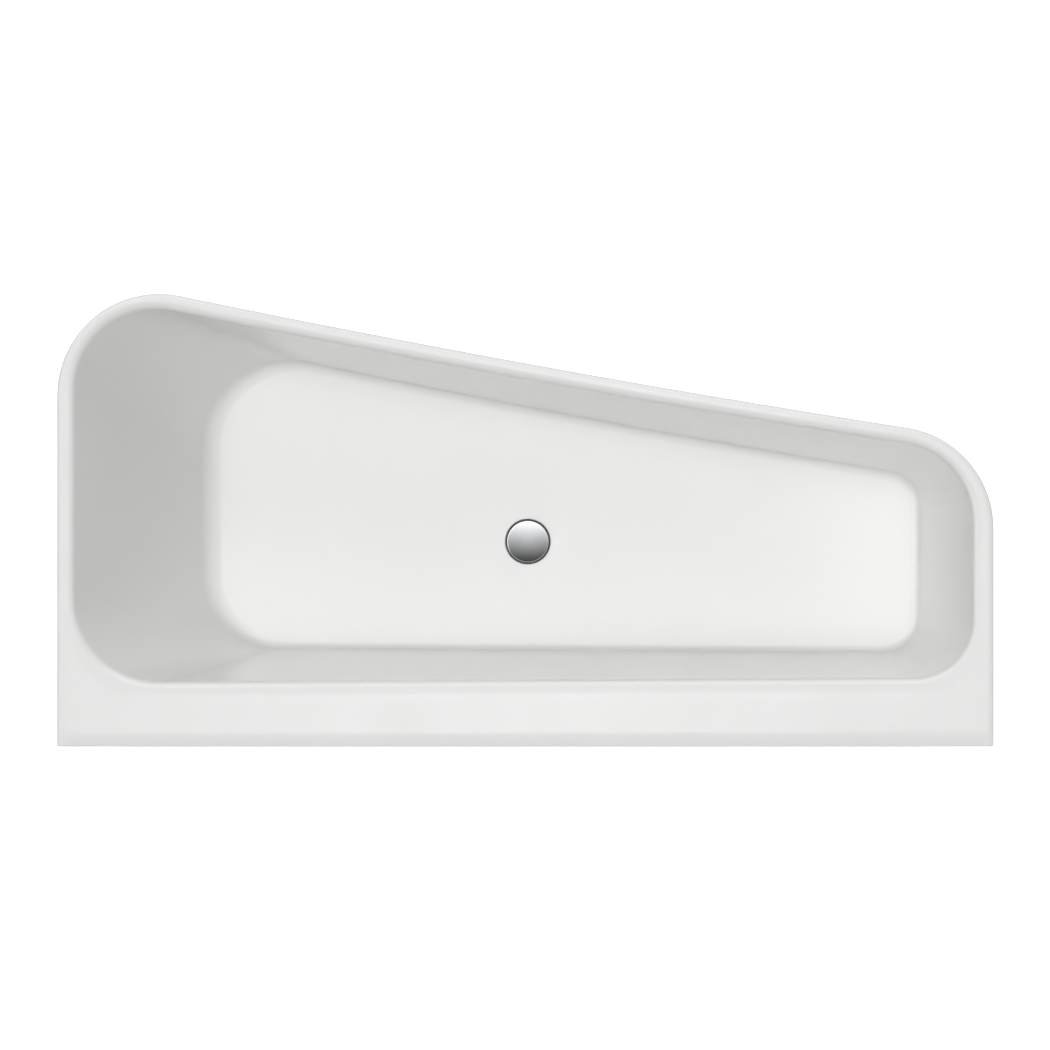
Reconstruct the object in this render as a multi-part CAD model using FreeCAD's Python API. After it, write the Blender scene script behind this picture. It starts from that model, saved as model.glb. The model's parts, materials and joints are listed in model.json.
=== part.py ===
import FreeCAD, Part
import math
import os
from FreeCAD import Vector

# A space-saving bath that stands with its straight side against a wall.
# The basin is wide at the head end and narrow at the foot end, because its front side runs at a slant.
# Lengths are millimetres. X runs along the wall from the foot end to the head end, Y runs from the room
# to the wall, and Z is up. The origin is on the floor, under the middle of the rim.

os.makedirs("parts", exist_ok=True)
UP = Vector(0, 0, 1)
DOWN = Vector(0, 0, -1)
TO_WALL = Vector(0, 1, 0)

# Rim, seen from above
overall_length = 1700.0
overall_width = 822.0
overall_height = 600.0
rim_corner_radius = 185.0
foot_side_length = 396.0
front_hollow_radius = 27000.0
wall_corner_radius = 3.0
rim_edge_radius = 9.0
wall_edge_radius = 2.5
lip_depth = 30.0
shell_thickness = 8.0

# Basin: its floor's height over the ground, for the waste and trap under it, and how far each
# side of its mouth and of its floor lies inside the rim's outline
basin_floor_height = 170.0
mouth_head_inset = 28.0
mouth_wall_inset = 120.0
mouth_foot_inset = 38.0
mouth_front_inset = 28.0
floor_head_inset = 238.0
floor_wall_inset = 163.0
floor_foot_inset = 91.0
floor_front_inset = 66.0
mouth_wall_lean = 0.33
floor_wall_lean = -0.44
floor_front_lean = -0.6
mouth_roll_radius = 14.0
head_bowl_radius = 45.0
side_bowl_radius = 18.0
mouth_head_front_radius = 147.0
mouth_head_wall_radius = 153.0
mouth_foot_wall_radius = 106.0
mouth_foot_front_radius = 144.0
floor_head_front_radius = 168.0
floor_head_wall_radius = 148.0
floor_foot_wall_radius = 72.0
floor_foot_front_radius = 64.0
floor_fall = 6.0

# Skirt, its bonding bead and the battens along its foot
skirt_thickness = 6.0
skirt_taper = 30.0
skirt_floor_gap = 8.0
skirt_wall_gap = 2.0
seam_gap = 0.3
bond_gap = 0.8
bead_width = 14.0
bead_height = 34.0
batten_thickness = 18.0
batten_height = 40.0
batten_lift = 16.0
batten_end_clearance = 15.0

# Boards and bedding bonded under the shell
board_thickness = 18.0
board_margin = 20.0
board_corner_radius = 40.0
board_cutout_radius = 70.0
bed_thickness = 2.0
ledge_board_thickness = 16.0
ledge_board_length = 1360.0
ledge_board_clearance = 8.0

# Steel bearers and the plate of the middle leg
bearer_width = 40.0
bearer_height = 25.0
steel_thickness = 2.0
head_bearer_end_distance = 450.0
foot_bearer_end_distance = 290.0
bearer_wall_gap = 26.0
bearer_front_gap = 2.0
leg_plate_length = 110.0
leg_plate_width = 60.0
leg_plate_thickness = 3.0

# Screws that hold the steel to the base board
screw_radius = 2.5
screw_length = 14.0
screw_head_radius = 4.5
screw_head_height = 2.5
screw_clearance = 0.2
bearer_screw_inset = 35.0
bearer_screw_gap = 60.0
leg_plate_screw_inset = 12.0

# Legs
leg_radius = 6.0
leg_clearance = 0.08
leg_top_above_bearer = 6.0
leg_socket_depth = 8.0
leg_end_gap = 0.3
leg_hole_radius = 6.5
leg_pocket_radius = 9.0
leg_pocket_depth = 13.0
leg_hex_width = 17.0
leg_hex_height = 8.0
leg_wall_inset = 80.0
leg_batten_clearance = 10.0
middle_leg_x = 125.0
middle_leg_y = -70.0
pad_radius = 30.0
pad_top_radius = 17.0
pad_rim_height = 5.0
pad_height = 14.0
pad_edge_rounding = 1.5
nut_width = 19.0
leg_nut_height = 18.0
lock_nut_height = 6.0

# Waste fitting in the basin floor
waste_x = -5.0
waste_y = 41.0
recess_radius = 44.0
recess_depth = 8.0
waste_hole_radius = 26.0
gasket_thickness = 2.0
gasket_edge_clearance = 0.5
under_gasket_thickness = 3.0
flange_radius = 38.0
flange_thickness = 3.0
tail_radius = 24.0
tail_wall = 2.5
tail_length = 52.0
thread_clearance = 0.1
back_nut_radius = 35.0
back_nut_height = 10.0
spider_hub_radius = 12.0
spider_height = 9.0
spider_arm_width = 3.5
spider_arms = 3
spider_drop = 9.0
latch_radius = 9.0
latch_wall = 1.8
latch_collar_height = 3.0
latch_length = 36.0
latch_floor = 3.0
latch_clearance = 0.05
sleeve_length = 16.0
spring_space = 8.0
spring_radius = 3.4
spring_wire_radius = 0.4
spring_end_gap = 0.1
spring_turns = 5
stem_radius = 4.0
stem_clearance = 0.06
plug_radius = 40.0
plug_edge_thickness = 3.0
plug_dome_height = 3.0
plug_edge_rounding = 1.0
plug_seat_gap = 0.3
plug_seal_radius = 33.0
plug_seal_width = 5.0
plug_seal_height = 1.6

# Trap and drain pipe
pipe_radius = 20.0
pipe_wall = 2.5
trap_washer_thickness = 3.0
collar_radius = 27.0
collar_thickness = 4.0
union_wall = 6.0
union_thread_height = 11.0
union_lip = 3.0
union_play = 0.3
trap_drop = 46.0
trap_bend_radius = 30.0
elbow_bend_radius = 26.0
elbow_run = 4.0
socket_depth = 12.0
socket_wall = 4.0
socket_play = 0.3
pipe_nut_wall = 4.5
pipe_nut_length = 14.0
drain_pipe_wall_gap = 15.0
drain_spigot_length = 50.0
drain_collar_radius = 23.0
drain_collar_width = 3.0

# Places that follow from the sizes above
half_length = overall_length / 2
half_width = overall_width / 2
overrun = shell_thickness
rim_top_z = overall_height
rim_under_z = rim_top_z - shell_thickness
lip_bottom_z = rim_top_z - lip_depth
floor_z = basin_floor_height
basin_depth = rim_top_z - floor_z
dish_z = floor_z - floor_fall
recess_z = dish_z - recess_depth
board_top_z = dish_z - shell_thickness - bed_thickness
board_bottom_z = board_top_z - board_thickness
web_bottom_z = board_bottom_z - steel_thickness
head_bearer_x = half_length - head_bearer_end_distance
foot_bearer_x = foot_bearer_end_distance - half_length
waste = Vector(waste_x, waste_y, 0)

mouth_insets = (mouth_head_inset, mouth_wall_inset, mouth_foot_inset, mouth_front_inset)
floor_insets = (floor_head_inset, floor_wall_inset, floor_foot_inset, floor_front_inset)
bowl_radii = (head_bowl_radius, side_bowl_radius, side_bowl_radius, side_bowl_radius)
mouth_head_radii = (mouth_head_front_radius, mouth_head_wall_radius)
mouth_radii = mouth_head_radii + (mouth_foot_wall_radius, mouth_foot_front_radius)
floor_head_radii = (floor_head_front_radius, floor_head_wall_radius)
floor_radii = floor_head_radii + (floor_foot_wall_radius, floor_foot_front_radius)

# The two sides that meet at each corner: head and front, head and wall, foot and wall, foot and front
HEAD, WALL, FOOT, FRONT = range(4)
corner_sides = ((HEAD, FRONT), (HEAD, WALL), (FOOT, WALL), (FOOT, FRONT))


def find_hollow_centre():
    """The centre of the slanted front edge's gentle hollow, far out in the room."""
    head_centre = Vector(half_length - rim_corner_radius, rim_corner_radius - half_width, 0)
    foot_centre = Vector(rim_corner_radius - half_length, half_width - foot_side_length, 0)
    chord = head_centre - foot_centre
    reach = front_hollow_radius + rim_corner_radius
    away = Vector(chord.y, -chord.x, 0).normalize()
    return (head_centre + foot_centre) / 2 + away * math.sqrt(reach ** 2 - (chord.Length / 2) ** 2)


hollow_centre = find_hollow_centre()


def arc_y(centre, radius, x):
    """Where the upper half of a circle crosses the line at x."""
    return centre.y + math.sqrt(radius ** 2 - (x - centre.x) ** 2)


def front_y(x, inset):
    """Where the front side, moved in by inset, crosses the line at x."""
    return arc_y(hollow_centre, front_hollow_radius + inset, x)


def arc_between(centre, radius, start, end):
    """The short arc about centre from direction start to direction end."""
    middle = (start + end).normalize()
    points = [centre + way * radius for way in (start, middle, end)]
    return Part.Arc(*points).toShape()


def outline(z, insets, radii, wall_lean=0.0, front_lean=0.0):
    """A closed wire at height z: the rim's outline, with each side moved in by its inset."""
    head_x = half_length - insets[HEAD]
    foot_x = insets[FOOT] - half_length
    lean = math.radians(wall_lean)
    wall_way = Vector(-math.sin(lean), math.cos(lean), 0)
    wall_reach = (half_width - insets[WALL]) * wall_way.y
    front_radius = front_hollow_radius + insets[FRONT]
    middle = FreeCAD.Rotation(UP, front_lean).multVec(hollow_centre) + UP * z
    centres = []
    for (side, other), radius in zip(corner_sides, radii):
        x = head_x - radius if side == HEAD else foot_x + radius
        if other == WALL:
            y = (wall_reach - radius - wall_way.x * x) / wall_way.y
        else:
            y = arc_y(middle, front_radius + radius, x)
        centres.append(Vector(x, y, z))
    to_front = [(middle - centre).normalize() for centre in centres]
    head_way, foot_way = Vector(1, 0, 0), Vector(-1, 0, 0)
    turns = ((to_front[0], head_way), (head_way, wall_way), (wall_way, foot_way), (foot_way, to_front[3]))
    corners = [
        arc_between(centre, radius, start, end) for centre, radius, (start, end) in zip(centres, radii, turns)
    ]
    front = arc_between(middle, front_radius, to_front[3] * -1, to_front[0] * -1)
    edges = [front]
    for index, corner in enumerate(corners):
        edges.append(corner)
        if index < len(corners) - 1:
            start = corner.Vertexes[-1].Point
            edges.append(Part.LineSegment(start, corners[index + 1].Vertexes[0].Point).toShape())
    return Part.Wire(edges)


def prism(wire, height):
    """A wire filled and drawn upwards."""
    return Part.Face(wire).extrude(UP * height)


def loft(wires, ruled=False):
    return Part.makeLoft(list(wires), True, ruled)


def join(shapes):
    """Solids fused into one, with seams between equal faces taken out."""
    return shapes[0].fuse(shapes[1:]).removeSplitter()


def box(low, high):
    size = high - low
    return Part.makeBox(size.x, size.y, size.z, low)


def cylinder(radius, bottom_z, top_z, centre=waste):
    return Part.makeCylinder(radius, top_z - bottom_z, Vector(centre.x, centre.y, bottom_z), UP)


def tube(outer, inner, bottom_z, top_z, centre=waste):
    hole = cylinder(inner, bottom_z - overrun, top_z + overrun, centre)
    return cylinder(outer, bottom_z, top_z, centre).cut(hole)


def turned(profile, centre=waste):
    """A solid turned about the upright line through centre, from (radius, height) points."""
    points = [Vector(centre.x + radius, centre.y, z) for radius, z in profile]
    return Part.Face(Part.makePolygon(points + points[:1])).revolve(centre, UP, 360)


def hexagon(width, bottom_z, top_z, centre):
    """A hexagonal block, width across its flats."""
    reach = width / math.sqrt(3)
    points = []
    for corner in range(6):
        angle = math.radians(60 * corner)
        way = Vector(math.cos(angle), math.sin(angle), 0)
        points.append(Vector(centre.x, centre.y, bottom_z) + way * reach)
    return prism(Part.makePolygon(points + points[:1]), top_z - bottom_z)


def write(name, solids):
    """One file for each piece, or for a group of alike pieces."""
    solids = solids if isinstance(solids, list) else [solids]
    found = [solid for shape in solids for solid in shape.Solids]
    shape = found[0] if len(found) == 1 else Part.makeCompound(found)
    if not shape.isValid():
        print("not valid:", name)
    shape.exportStep("parts/" + name + ".step")
    return shape


# Bath shell: a rim with a turned-down lip, and the basin hanging in it

def round_shift(height, radius, lean):
    """How far a rounding lies from its wall, at this height from the level face."""
    if height >= radius * (1 - math.sin(lean)):
        return 0.0
    height = max(height, 0.0)
    foot = radius * (1 - math.sin(lean)) / math.cos(lean)
    return height * math.tan(lean) + foot - math.sqrt(radius ** 2 - (radius - height) ** 2)


wall_leans = [math.atan2(low - high, basin_depth) for low, high in zip(floor_insets, mouth_insets)]


def basin_outline(z, grow):
    """The basin's surface at height z, or the sheet's underside where grow is its thickness."""
    share = (z - floor_z) / basin_depth
    insets, eased = [], []
    for low, high, lean, bowl in zip(floor_insets, mouth_insets, wall_leans, bowl_radii):
        bowl_shift = round_shift(z - floor_z + grow, bowl + grow, lean)
        roll_shift = round_shift(rim_top_z - grow - z, mouth_roll_radius - grow, lean)
        eased.append(bowl_shift - roll_shift)
        insets.append(low + (high - low) * share - grow / math.cos(lean) + bowl_shift - roll_shift)
    radii = []
    for low, high, (side, other) in zip(floor_radii, mouth_radii, corner_sides):
        radii.append(low + (high - low) * share + grow - (eased[side] + eased[other]) / 2)
    wall_lean = floor_wall_lean + (mouth_wall_lean - floor_wall_lean) * share
    return outline(z, insets, radii, wall_lean, floor_front_lean * (1 - share))


def eased_steps(depth, count):
    """Steps from 0 to depth that lie close together at 0, as a rounding needs."""
    return [depth * (1 - math.cos(math.pi / 2 * step / count)) for step in range(count + 1)]


def rounded(wires):
    """The solid through a rounding's wires, from the level face on."""
    return [loft(wires[:2], ruled=True), loft(wires[1:])]


bowl_steps = 8
roll_steps = 7


def waste_ring(z, radius, wire):
    """A circle about the waste, cut where lines from it to the wire's corners cross it."""
    centre = Vector(waste.x, waste.y, z)
    ways = []
    for edge in wire.OrderedEdges:
        point = edge.firstVertex(True).Point
        ways.append(Vector(point.x - centre.x, point.y - centre.y, 0).normalize())
    edges = [arc_between(centre, radius, start, end) for start, end in zip(ways, ways[1:] + ways[:1])]
    return Part.Wire(edges)


def basin(grow):
    """The room in the basin, or the block that the sheet's underside bounds, and its uppermost outline."""
    low_z, high_z = floor_z - grow, rim_top_z - grow
    bowl_depth = max((bowl + grow) * (1 - math.sin(lean)) for bowl, lean in zip(bowl_radii, wall_leans))
    roll_depth = (mouth_roll_radius - grow) * (1 - math.sin(min(wall_leans)))
    bowl = [basin_outline(low_z + step, grow) for step in eased_steps(bowl_depth, bowl_steps)]
    roll = [basin_outline(high_z - step, grow) for step in eased_steps(roll_depth, roll_steps)]
    ring = waste_ring(dish_z - grow, recess_radius + grow, bowl[0])
    dish = loft([ring, bowl[0]], ruled=True)
    walls = loft([bowl[-1], roll[-1]], ruled=True)
    recess = cylinder(recess_radius + grow, recess_z - grow, dish_z - grow)
    above = prism(roll[0], grow / 2 if grow else overrun)
    return join([walls, dish, recess, above] + rounded(bowl) + rounded(roll))


def rim_insets(height):
    """The rim's rounded outer edge, at a height below its top."""
    insets = []
    for radius in (rim_edge_radius, wall_edge_radius, rim_edge_radius, rim_edge_radius):
        below = max(radius - height, 0)
        insets.append(radius - math.sqrt(radius ** 2 - below ** 2))
    return insets


def rim_outline(z, insets):
    front_radius = rim_corner_radius - insets[FRONT]
    radii = (front_radius, wall_corner_radius, wall_corner_radius, front_radius)
    return outline(z, insets, radii)


def make_bath_shell():
    depths = eased_steps(rim_edge_radius, roll_steps)
    edge = [rim_outline(rim_top_z - depth, rim_insets(depth)) for depth in depths]
    side = prism(rim_outline(lip_bottom_z, (0, 0, 0, 0)), lip_depth - rim_edge_radius)
    rim = join(rounded(edge) + [side])
    inside = rim_outline(lip_bottom_z - overrun, (shell_thickness,) * 4)
    hollow = prism(inside, overrun + lip_depth - shell_thickness)
    hole = cylinder(waste_hole_radius, recess_z - shell_thickness - overrun, recess_z + overrun)
    return join([rim.cut(hollow), basin(shell_thickness)]).cut([basin(0), hole])



# Skirt on the three sides that stand in the room

skirt_top_inset = shell_thickness + seam_gap


def skirt_insets(z, inward):
    """The skirt leans in towards its foot; inward is measured from its outer face."""
    drop = max(lip_bottom_z - z, 0) / (lip_bottom_z - skirt_floor_gap)
    inset = skirt_top_inset + skirt_taper * drop + inward
    return (inset, -overrun, inset, inset)


def skirt_block(low_z, high_z, inward):
    """The space within a face of the skirt, inward of its outer face, past the wall at the back."""
    levels = [low_z] + [z for z in (lip_bottom_z,) if low_z < z < high_z] + [high_z]
    wires = [rim_outline(z, skirt_insets(z, inward)) for z in levels]
    return join([loft(pair, ruled=True) for pair in zip(wires, wires[1:])])


def beyond(y, low_z, high_z):
    """All that lies towards the wall from the line at y."""
    return box(Vector(-overall_length, y, low_z), Vector(overall_length, overall_width, high_z))


def make_skirt():
    body = skirt_block(skirt_floor_gap, rim_under_z, 0)
    body = body.cut(skirt_block(skirt_floor_gap - overrun, rim_under_z + overrun, skirt_thickness))
    lip_end = half_width - skirt_top_inset - wall_corner_radius
    behind_lip = beyond(lip_end, lip_bottom_z - seam_gap, rim_top_z)
    basin_room = basin(shell_thickness + seam_gap)
    return body.cut([beyond(half_width - skirt_wall_gap, 0, rim_top_z), behind_lip, basin_room])


def make_bond_bead():
    """Adhesive that holds the skirt's upper edge to the rim and to the basin's wall."""
    low_z = rim_under_z - bead_height
    inner = skirt_thickness + seam_gap
    ring = skirt_block(low_z, rim_under_z, inner)
    ring = ring.cut(skirt_block(low_z - overrun, rim_under_z + overrun, inner + bead_width))
    back = beyond(half_width - mouth_wall_inset, 0, rim_top_z)
    return ring.cut([basin(shell_thickness + bond_gap), back])


def make_batten(side):
    """A timber batten glued along the skirt's foot, as far as that side runs straight."""
    low_z = batten_lift
    high_z = batten_lift + batten_height
    inner = skirt_thickness + seam_gap
    ring = skirt_block(low_z, high_z, inner)
    ring = ring.cut(skirt_block(low_z, high_z, inner + batten_thickness))
    if side == FRONT:
        reach = half_length - rim_corner_radius - batten_end_clearance
        low = Vector(-reach, -overall_width, low_z)
        high = Vector(reach, half_width, high_z)
    else:
        corner_y = rim_corner_radius - half_width if side == HEAD else half_width - foot_side_length
        start_y = corner_y + batten_end_clearance
        reach = half_length - rim_corner_radius
        low = Vector(reach if side == HEAD else -half_length, start_y, low_z)
        high = Vector(half_length if side == HEAD else -reach, half_width - skirt_wall_gap, high_z)
    return ring.common(box(low, high))


# Boards and bedding bonded to the shell

def board_outline(z):
    """The flat of the basin's floor, less a margin."""
    insets = []
    for low, lean, bowl in zip(floor_insets, wall_leans, bowl_radii):
        insets.append(low + round_shift(0, bowl, lean) + board_margin)
    return outline(z, insets, (board_corner_radius,) * 4, floor_wall_lean, floor_front_lean)


def make_base_board(legs, screws):
    board = prism(board_outline(board_bottom_z), board_thickness)
    hole = cylinder(board_cutout_radius, board_bottom_z - overrun, board_top_z + overrun)
    pockets = [
        cylinder(leg_pocket_radius, board_bottom_z - overrun, board_bottom_z + leg_pocket_depth, place)
        for place in legs
    ]
    top_z = board_bottom_z + screw_length
    pilots = [
        cylinder(screw_radius + screw_clearance, board_bottom_z - overrun, top_z, place) for place in screws
    ]
    return board.cut([hole] + pockets + pilots)


def make_resin_bed():
    """Resin that fills the wedge between the base board and the falling floor."""
    bed = prism(board_outline(board_top_z), floor_fall + bed_thickness)
    hole = cylinder(board_cutout_radius, board_top_z - overrun, floor_z)
    return bed.cut([hole, basin(shell_thickness + bond_gap)])


def make_ledge_board():
    """A board under the wide ledge, which taps could be fitted through."""
    slant = ledge_board_length / 2 * math.tan(math.radians(mouth_wall_lean))
    low_y = half_width - mouth_wall_inset + mouth_roll_radius + ledge_board_clearance + slant
    high_y = half_width - shell_thickness - ledge_board_clearance
    low = Vector(-ledge_board_length / 2, low_y, rim_under_z - ledge_board_thickness)
    return box(low, Vector(ledge_board_length / 2, high_y, rim_under_z))


# Steel frame and its screws

def bearer_ends(x):
    """The front and wall ends of a bearer."""
    low_z = board_bottom_z - bearer_height
    inset = skirt_insets(low_z, skirt_thickness)[FRONT]
    return front_y(x - bearer_width / 2, inset) + bearer_front_gap, half_width - bearer_wall_gap


def board_span(x):
    """Where the base board's front and wall edges cross the line at x."""
    board = board_outline(0).BoundBox
    cut = Part.LineSegment(Vector(x, board.YMin - overrun, 0), Vector(x, board.YMax + overrun, 0)).toShape()
    points = [vertex.Point.y for vertex in Part.Face(board_outline(0)).common(cut).Vertexes]
    return min(points), max(points)


def bearer_legs(x):
    foot_z = batten_lift
    inset = skirt_insets(foot_z, skirt_thickness + seam_gap + batten_thickness)[FRONT]
    front = front_y(x, inset) + pad_radius + leg_batten_clearance
    return Vector(x, front, 0), Vector(x, half_width - leg_wall_inset, 0)


def bearer_screws(x):
    low, high = board_span(x)
    first = low + bearer_screw_inset
    last = high - bearer_screw_inset
    return [Vector(x, y, 0) for y in (first, first + bearer_screw_gap, last - bearer_screw_gap, last)]


def make_bearer(x):
    """A channel, open below, with its holes."""
    front, back = bearer_ends(x)
    low_z = board_bottom_z - bearer_height
    half = bearer_width / 2
    channel = box(Vector(x - half, front, low_z), Vector(x + half, back, board_bottom_z))
    inner = half - steel_thickness
    channel = channel.cut(box(
        Vector(x - inner, front - overrun, low_z - overrun), Vector(x + inner, back + overrun, web_bottom_z)
    ))
    holes = [cylinder(leg_hole_radius, web_bottom_z - overrun, board_top_z, leg) for leg in bearer_legs(x)]
    for screw in bearer_screws(x):
        holes.append(cylinder(screw_radius + screw_clearance, web_bottom_z - overrun, board_top_z, screw))
    return channel.cut(holes)


middle_leg = Vector(middle_leg_x, middle_leg_y, 0)
plate_bottom_z = board_bottom_z - leg_plate_thickness


def plate_screws():
    along = leg_plate_length / 2 - leg_plate_screw_inset
    across = leg_plate_width / 2 - leg_plate_screw_inset
    return [middle_leg + Vector(x, y, 0) for x in (-along, along) for y in (-across, across)]


def make_leg_plate():
    corner = Vector(leg_plate_length / 2, leg_plate_width / 2, 0)
    plate = box(middle_leg - corner + UP * plate_bottom_z, middle_leg + corner + UP * board_bottom_z)
    holes = [cylinder(leg_hole_radius, plate_bottom_z - overrun, board_top_z, middle_leg)]
    for screw in plate_screws():
        holes.append(cylinder(screw_radius + screw_clearance, plate_bottom_z - overrun, board_top_z, screw))
    return plate.cut(holes)


def make_screw(place, seat_z):
    head = cylinder(screw_head_radius, seat_z - screw_head_height, seat_z, place)
    return join([head, cylinder(screw_radius, seat_z, seat_z + screw_length - leg_plate_thickness, place)])


# Legs: a long nut welded under the steel, a lock nut, a threaded leg and a pad

def nut(top_z, height, place):
    hole = cylinder(leg_radius + leg_clearance, top_z - height - overrun, top_z + overrun, place)
    return hexagon(nut_width, top_z - height, top_z, place).cut(hole)


def make_leg(place):
    """The threaded leg stands in its pad and turns there, on its hexagon."""
    low_z = pad_height - leg_socket_depth + leg_end_gap
    rod = cylinder(leg_radius, low_z, board_bottom_z + leg_top_above_bearer, place)
    hex_z = pad_height + leg_end_gap
    return join([rod, hexagon(leg_hex_width, hex_z, hex_z + leg_hex_height, place)])


def make_pad(place):
    bore = leg_radius + leg_clearance
    low = pad_edge_rounding
    return turned([
        (0, 0), (pad_radius - low, 0), (pad_radius, low), (pad_radius, pad_rim_height),
        (pad_top_radius, pad_height), (bore, pad_height), (bore, pad_height - leg_socket_depth),
        (0, pad_height - leg_socket_depth),
    ], place)


# Waste fitting

gasket_top_z = recess_z + gasket_thickness
flange_top_z = gasket_top_z + flange_thickness
tail_bottom_z = flange_top_z - tail_length
recess_under_z = recess_z - shell_thickness
back_nut_top_z = recess_under_z - under_gasket_thickness
spider_top_z = flange_top_z - spider_drop
latch_top_z = spider_top_z + latch_collar_height
latch_bottom_z = latch_top_z - latch_length
chamber_z = latch_bottom_z + latch_floor
stem_end_z = chamber_z + spring_space
plug_seal_z = flange_top_z + plug_seat_gap
plug_z = plug_seal_z + plug_seal_height


def make_waste_body():
    """The flange with its threaded tail and the spider that carries the latch."""
    bore = tail_radius - tail_wall
    flange = turned([
        (bore, tail_bottom_z), (tail_radius, tail_bottom_z), (tail_radius, gasket_top_z),
        (flange_radius, gasket_top_z), (flange_radius, flange_top_z), (bore, flange_top_z),
    ])
    low_z = spider_top_z - spider_height
    half = spider_arm_width / 2
    arms = []
    for arm in range(spider_arms):
        bar = box(waste + Vector(0, -half, low_z), waste + Vector(bore + tail_wall / 2, half, spider_top_z))
        arms.append(bar.rotate(waste, UP, 360 * arm / spider_arms))
    hub = cylinder(spider_hub_radius, low_z, spider_top_z)
    hole = cylinder(latch_radius + latch_clearance, low_z - overrun, spider_top_z + overrun)
    return join([flange, hub] + arms).cut(hole)


def make_latch():
    """The push latch: a closed barrel with a spring chamber and a sleeve for the plug's stem."""
    sleeve = stem_radius + stem_clearance
    chamber = latch_radius - latch_wall
    return turned([
        (0, latch_bottom_z), (latch_radius, latch_bottom_z), (latch_radius, spider_top_z),
        (spider_hub_radius, spider_top_z), (spider_hub_radius, latch_top_z), (sleeve, latch_top_z),
        (sleeve, latch_top_z - sleeve_length), (chamber, latch_top_z - sleeve_length), (chamber, chamber_z),
        (0, chamber_z),
    ])


def make_latch_spring():
    gap = spring_wire_radius + spring_end_gap
    height = spring_space - 2 * gap
    path = Part.makeHelix(height / spring_turns, height, spring_radius)
    start = Vector(spring_radius, 0, 0)
    ring = Part.Wire(Part.makeCircle(spring_wire_radius, start, TO_WALL))
    return Part.Wire(path).makePipeShell([ring], True, True).translate(waste + UP * (chamber_z + gap))


def make_plug():
    """The domed cover and its stem."""
    edge_top = plug_z + plug_edge_thickness
    top = edge_top + plug_dome_height
    rounding = plug_edge_rounding
    centre_z = top - (plug_radius ** 2 + plug_dome_height ** 2) / (2 * plug_dome_height)
    dome_radius = top - centre_z
    half_angle = math.asin((plug_radius - rounding) / dome_radius) / 2
    shoulder = Vector(plug_radius - rounding, 0, centre_z + dome_radius * math.cos(half_angle * 2))
    middle = Vector(dome_radius * math.sin(half_angle), 0, centre_z + dome_radius * math.cos(half_angle))
    tip = Vector(0, 0, top)
    corners = [
        shoulder, Vector(plug_radius, 0, edge_top - rounding), Vector(plug_radius, 0, plug_z),
        Vector(stem_radius, 0, plug_z), Vector(stem_radius, 0, stem_end_z), Vector(0, 0, stem_end_z), tip,
    ]
    edges = [Part.LineSegment(start, end).toShape() for start, end in zip(corners, corners[1:])]
    edges.append(Part.Arc(tip, middle, shoulder).toShape())
    return Part.Face(Part.Wire(edges)).revolve(Vector(0, 0, 0), UP, 360).translate(waste)


# Trap: its collar hangs in the union nut, so the trap can be swung to meet the drain

washer_bottom_z = tail_bottom_z - trap_washer_thickness
collar_top_z = washer_bottom_z - union_play
collar_bottom_z = collar_top_z - collar_thickness
lip_top_z = collar_bottom_z - union_play
bend_z = collar_top_z - trap_drop
riser = waste + TO_WALL * (2 * trap_bend_radius)
nut_reach = socket_wall + socket_play
socket_reach = pipe_wall + socket_depth
elbow_start_z = bend_z + socket_reach + union_lip + 2 * socket_play
drain_z = elbow_start_z + elbow_bend_radius
elbow_turn = riser + TO_WALL * elbow_bend_radius
elbow_end = elbow_turn + TO_WALL * elbow_run


def make_union_nut():
    outer = collar_radius + union_play + union_wall
    low_z = lip_top_z - union_lip
    high_z = tail_bottom_z + union_thread_height
    thread = tail_radius + thread_clearance
    return turned([
        (pipe_radius + union_play, low_z), (outer, low_z), (outer, high_z), (thread, high_z),
        (thread, tail_bottom_z), (collar_radius + union_play, tail_bottom_z),
        (collar_radius + union_play, lip_top_z), (pipe_radius + union_play, lip_top_z),
    ])


def bent(radius, centre, turn_centre, way, angle):
    """A round bar of one radius, bent about turn_centre."""
    disc = Part.Face(Part.Wire(Part.makeCircle(radius, centre, UP)))
    return disc.revolve(turn_centre, way, angle)


def make_trap_body():
    """Collar, drop, return bend and the socket for the elbow."""
    start = waste + UP * bend_z
    turn_centre = start + TO_WALL * trap_bend_radius
    solids = [
        cylinder(collar_radius, collar_bottom_z, collar_top_z),
        cylinder(pipe_radius, bend_z, collar_top_z),
        bent(pipe_radius, start, turn_centre, Vector(1, 0, 0), 180),
        cylinder(pipe_radius + nut_reach, bend_z, bend_z + socket_reach, riser),
    ]
    bore = pipe_radius - pipe_wall
    holes = [
        cylinder(bore, bend_z, collar_top_z + overrun),
        bent(bore, start, turn_centre, Vector(1, 0, 0), 180),
        cylinder(bore, bend_z, bend_z + socket_reach, riser),
        cylinder(pipe_radius + socket_play, bend_z + pipe_wall, bend_z + socket_reach + overrun, riser),
    ]
    return join(solids).cut(holes)


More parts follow.
